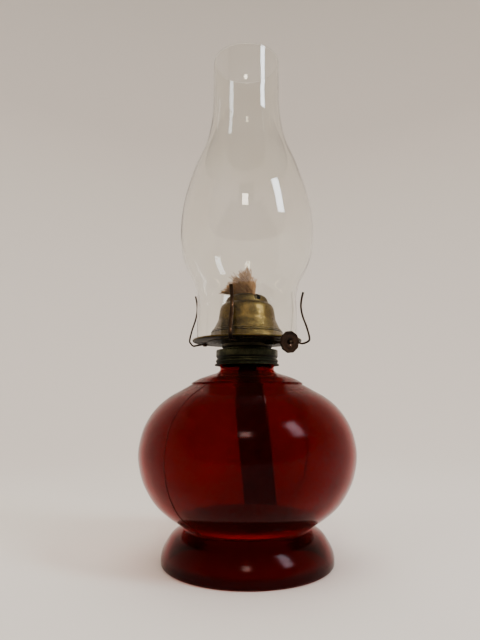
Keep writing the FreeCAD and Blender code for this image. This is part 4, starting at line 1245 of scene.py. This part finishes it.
def make_lights():
    """A window on the right, a lamp in the room, and soft fills that light the lamp and the wall."""
    middle = LAMP_MIDDLE
    soft_light("window_light", bearing_place(58, 34, 1.7), middle, 0.34, 0.70, 22.0, (0.84, 0.92, 1.0), True)
    soft_light("room_lamp", bearing_place(-3, 31, 1.6), middle, 0.24, 0.24, 7.0, (1.0, 0.90, 0.72), True)
    soft_light("left_fill", (-1.4, -1.1, 1.0), middle, 1.3, 1.2, 16.0, (1.0, 0.94, 0.86), False)
    soft_light("front_fill", (0.7, -1.7, 0.9), middle, 1.2, 0.9, 12.0, (1.0, 0.96, 0.92), False)
    soft_light("ceiling_light", (0.0, 0.5, 2.1), middle, 1.8, 1.8, 26.0, (1.0, 0.97, 0.93), False)
    soft_light("wall_light", (0.0, -0.5, 2.5), (0.0, 2.4, 1.3), 1.6, 0.8, 36.0, (1.0, 0.95, 0.88), False)
    world = bpy.data.worlds.new("studio_air")
    world.use_nodes = True
    air = world.node_tree.nodes["Background"].inputs
    air["Color"].default_value = (0.82, 0.76, 0.70, 1)
    air["Strength"].default_value = 0.22
    bpy.context.scene.world = world


# ---- the lamp
TURNING = turning_tree()
PUNCHING = punching_tree()
STRIP = strip_tree()
YARN = yarn_tree()
WEAR = wear_group()
TARNISH = tarnish_group()
DUST = dust_group()

RUBY = ruby_glass()
SEAM_RUBY = seam_ruby()
CLEAR = clear_glass()
# The burner's bright edge colour and strong edge wear are partly worn brass and partly a painted highlight on
# edges such as the gallery's rolled rim.
BURNER_BRASS = old_metal("burner_brass", (0.17, 0.108, 0.029), (0.055, 0.037, 0.014), (0.46, 0.33, 0.11),
                         55.0, 0.02, 0.9)
HIDDEN_BRASS = old_metal("inner_brass", (0.085, 0.062, 0.028), (0.022, 0.018, 0.011), (0.22, 0.17, 0.08),
                         90.0, 0.10, 0.4)
COLLAR_BRASS = old_metal("collar_brass", (0.058, 0.056, 0.028), (0.016, 0.017, 0.010), (0.19, 0.17, 0.08),
                         80.0, 0.06, 0.7)
PRONG_METAL = old_metal("prong_metal", (0.055, 0.030, 0.018), (0.020, 0.012, 0.008), (0.17, 0.10, 0.06),
                        110.0, 0.0, 0.5, 0.25 * MM)
WHEEL_METAL = old_metal("thumb_wheel_metal", (0.040, 0.022, 0.014), (0.017, 0.010, 0.007),
                        (0.11, 0.065, 0.04), 130.0, 0.0, 0.6, 0.3 * MM)
RAISER_METAL = old_metal("raiser_metal", (0.10, 0.065, 0.038), (0.03, 0.02, 0.013), (0.25, 0.18, 0.11),
                         120.0, 0.0, 0.5, 0.2 * MM)
PLASTER = plaster()
WICK_COTTON = cotton("wick_cotton", (0.38, 0.215, 0.10), (0.22, 0.115, 0.05),
                     wick_high.z + 4 * MM, wick_high.z + 24 * MM)
# A darker copy of the wick's cotton for the end that hangs inside the font: painted shade.
TAIL_COTTON = cotton("wick_tail_cotton", (0.13, 0.085, 0.055), (0.06, 0.038, 0.025), 0.30, 0.32)


def build_glass():
    font = turned("font_glass", font_outline(), RUBY, FONT_STEPS, cyclic=False)
    piece("font_glass", sharpen(font, GLASS_CREASE), "lamp_base", RUBY, ["glass_foot", "glass_bowl"])
    chimney = turned("chimney_glass", chimney_outline(), CLEAR, WIDE_STEPS)
    piece("chimney_glass", sharpen(chimney, GLASS_CREASE), "chimney", CLEAR, ["chimney"])


def seam_path(bearing):
    """Up the outside of the body in one upright plane, from the waist to the ring on the shoulder."""
    bearing = math.radians(bearing)
    outwards = Vector((math.sin(bearing), -math.cos(bearing), 0))
    line = [(r, z) for r, z in outer_font_line() if WAIST_HEIGHT + WAIST_BAND < z < LEDGE_HEIGHT]
    return [outwards * r + Z_AXIS * z for r, z in line]


def seam_mesh(bearing, material):
    """Fine ridge where the two halves of the mould met."""
    values = {"Width": SEAM_WIDTH, "Thickness": SEAM_THICK, "Edge Round": SEAM_ROUND, "Material": material}
    return outward(grow("seam", STRIP, path_mesh([seam_path(bearing)]), values))


def build_seams():
    for name, bearing in SEAM_BEARINGS:
        seam = sharpen(seam_mesh(bearing, SEAM_RUBY), STRIP_CREASE)
        piece("mould_seam_" + name, seam, "lamp_base", SEAM_RUBY, [])


def build_collar():
    shell = turned("collar_shell", collar_outline(), COLLAR_BRASS, COLLAR_STEPS)
    piece("collar_shell", sharpen(shell, STRIP_CREASE), "lamp_base", COLLAR_BRASS, ["collar"])
    ring = turned("seat_bead", seat_outline(), COLLAR_BRASS, COLLAR_STEPS)
    piece("seat_bead", sharpen(ring, STRIP_CREASE), "seat", COLLAR_BRASS, ["seat_ring"])


def build_burner():
    gallery = turned("gallery_disc", gallery_outline(), BURNER_BRASS, WIDE_STEPS)
    middle = DOME_FOOT - GALLERY_SHEET / 2
    gallery = punched(gallery, GALLERY_CIRCLES, GALLERY_HOLE, 4 * MM, middle, BURNER_BRASS)
    piece("gallery_disc", sharpen(gallery, SHEET_CREASE), "burner", BURNER_BRASS, ["gallery"])
    basket = turned("air_bowl", basket_outline(), HIDDEN_BRASS, WIDE_STEPS)
    basket = punched(basket, BASKET_CIRCLES, BASKET_HOLE, 8 * MM, basket_high.z, HIDDEN_BRASS)
    piece("air_bowl", sharpen(basket, SHEET_CREASE), "burner", HIDDEN_BRASS, ["air_basket"])
    dome = turned("dome_bell", dome_outline(), BURNER_BRASS, WIDE_STEPS, cyclic=False)
    slot = oval_cutter(SLOT_LENGTH, SLOT_WIDTH, DOME_TOP - SLOT_DEPTH, DOME_TOP + 2 * MM)
    dome = carve(dome, slot)
    piece("dome_bell", sharpen(dome, SHEET_CREASE), "burner", BURNER_BRASS, ["dome"])


def build_prongs():
    for name in PRONG_LEAN:
        strip = sharpen(prong_mesh(name, PRONG_METAL), STRIP_CREASE)
        piece("prong_strip_" + name, strip, "prong_" + name, PRONG_METAL, ["prong_" + name])


def build_raiser():
    piece("thumb_wheel_disc", thumb_wheel_mesh(), "raiser", WHEEL_METAL, ["thumb_wheel"])


def build_wick():
    woven = woven_strap("wick_woven", wick_low.z, WOVEN_TOP, 0.0, 0.0, 0.0)
    woven = piece("wick_woven", woven, "wick", WICK_COTTON, ["wick"])
    fringe = piece("wick_fringe", crown_mesh(WICK_COTTON), "wick", WICK_COTTON, [])
    hanging = woven_strap("wick_hanging", tail_low.z, tail_high.z, TAIL_BOW, TAIL_TWIST, TAIL_DRIFT)
    hanging = piece("wick_hanging", hanging, "wick", TAIL_COTTON, ["wick_tail"])
    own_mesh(hanging)


def dress_frame_nodes():
    """Gives every CAD node that still shows its own material."""
    finishes = {"collar_plaster": PLASTER, "burner_base": HIDDEN_BRASS, "diffuser_plate": HIDDEN_BRASS,
                "wick_tube": HIDDEN_BRASS, "ratchet_housing": HIDDEN_BRASS, "shaft_guard": HIDDEN_BRASS,
                "prong_rivets": PRONG_METAL, "raiser_shaft": RAISER_METAL, "spur_wheel_inner": RAISER_METAL,
                "spur_wheel_outer": RAISER_METAL}
    for name, material in finishes.items():
        dress(frame["nodes"][name].data, material)


make_camera()
make_stage()
make_lights()
build_glass()
build_seams()
build_collar()
build_burner()
build_prongs()
build_raiser()
build_wick()
dress_frame_nodes()
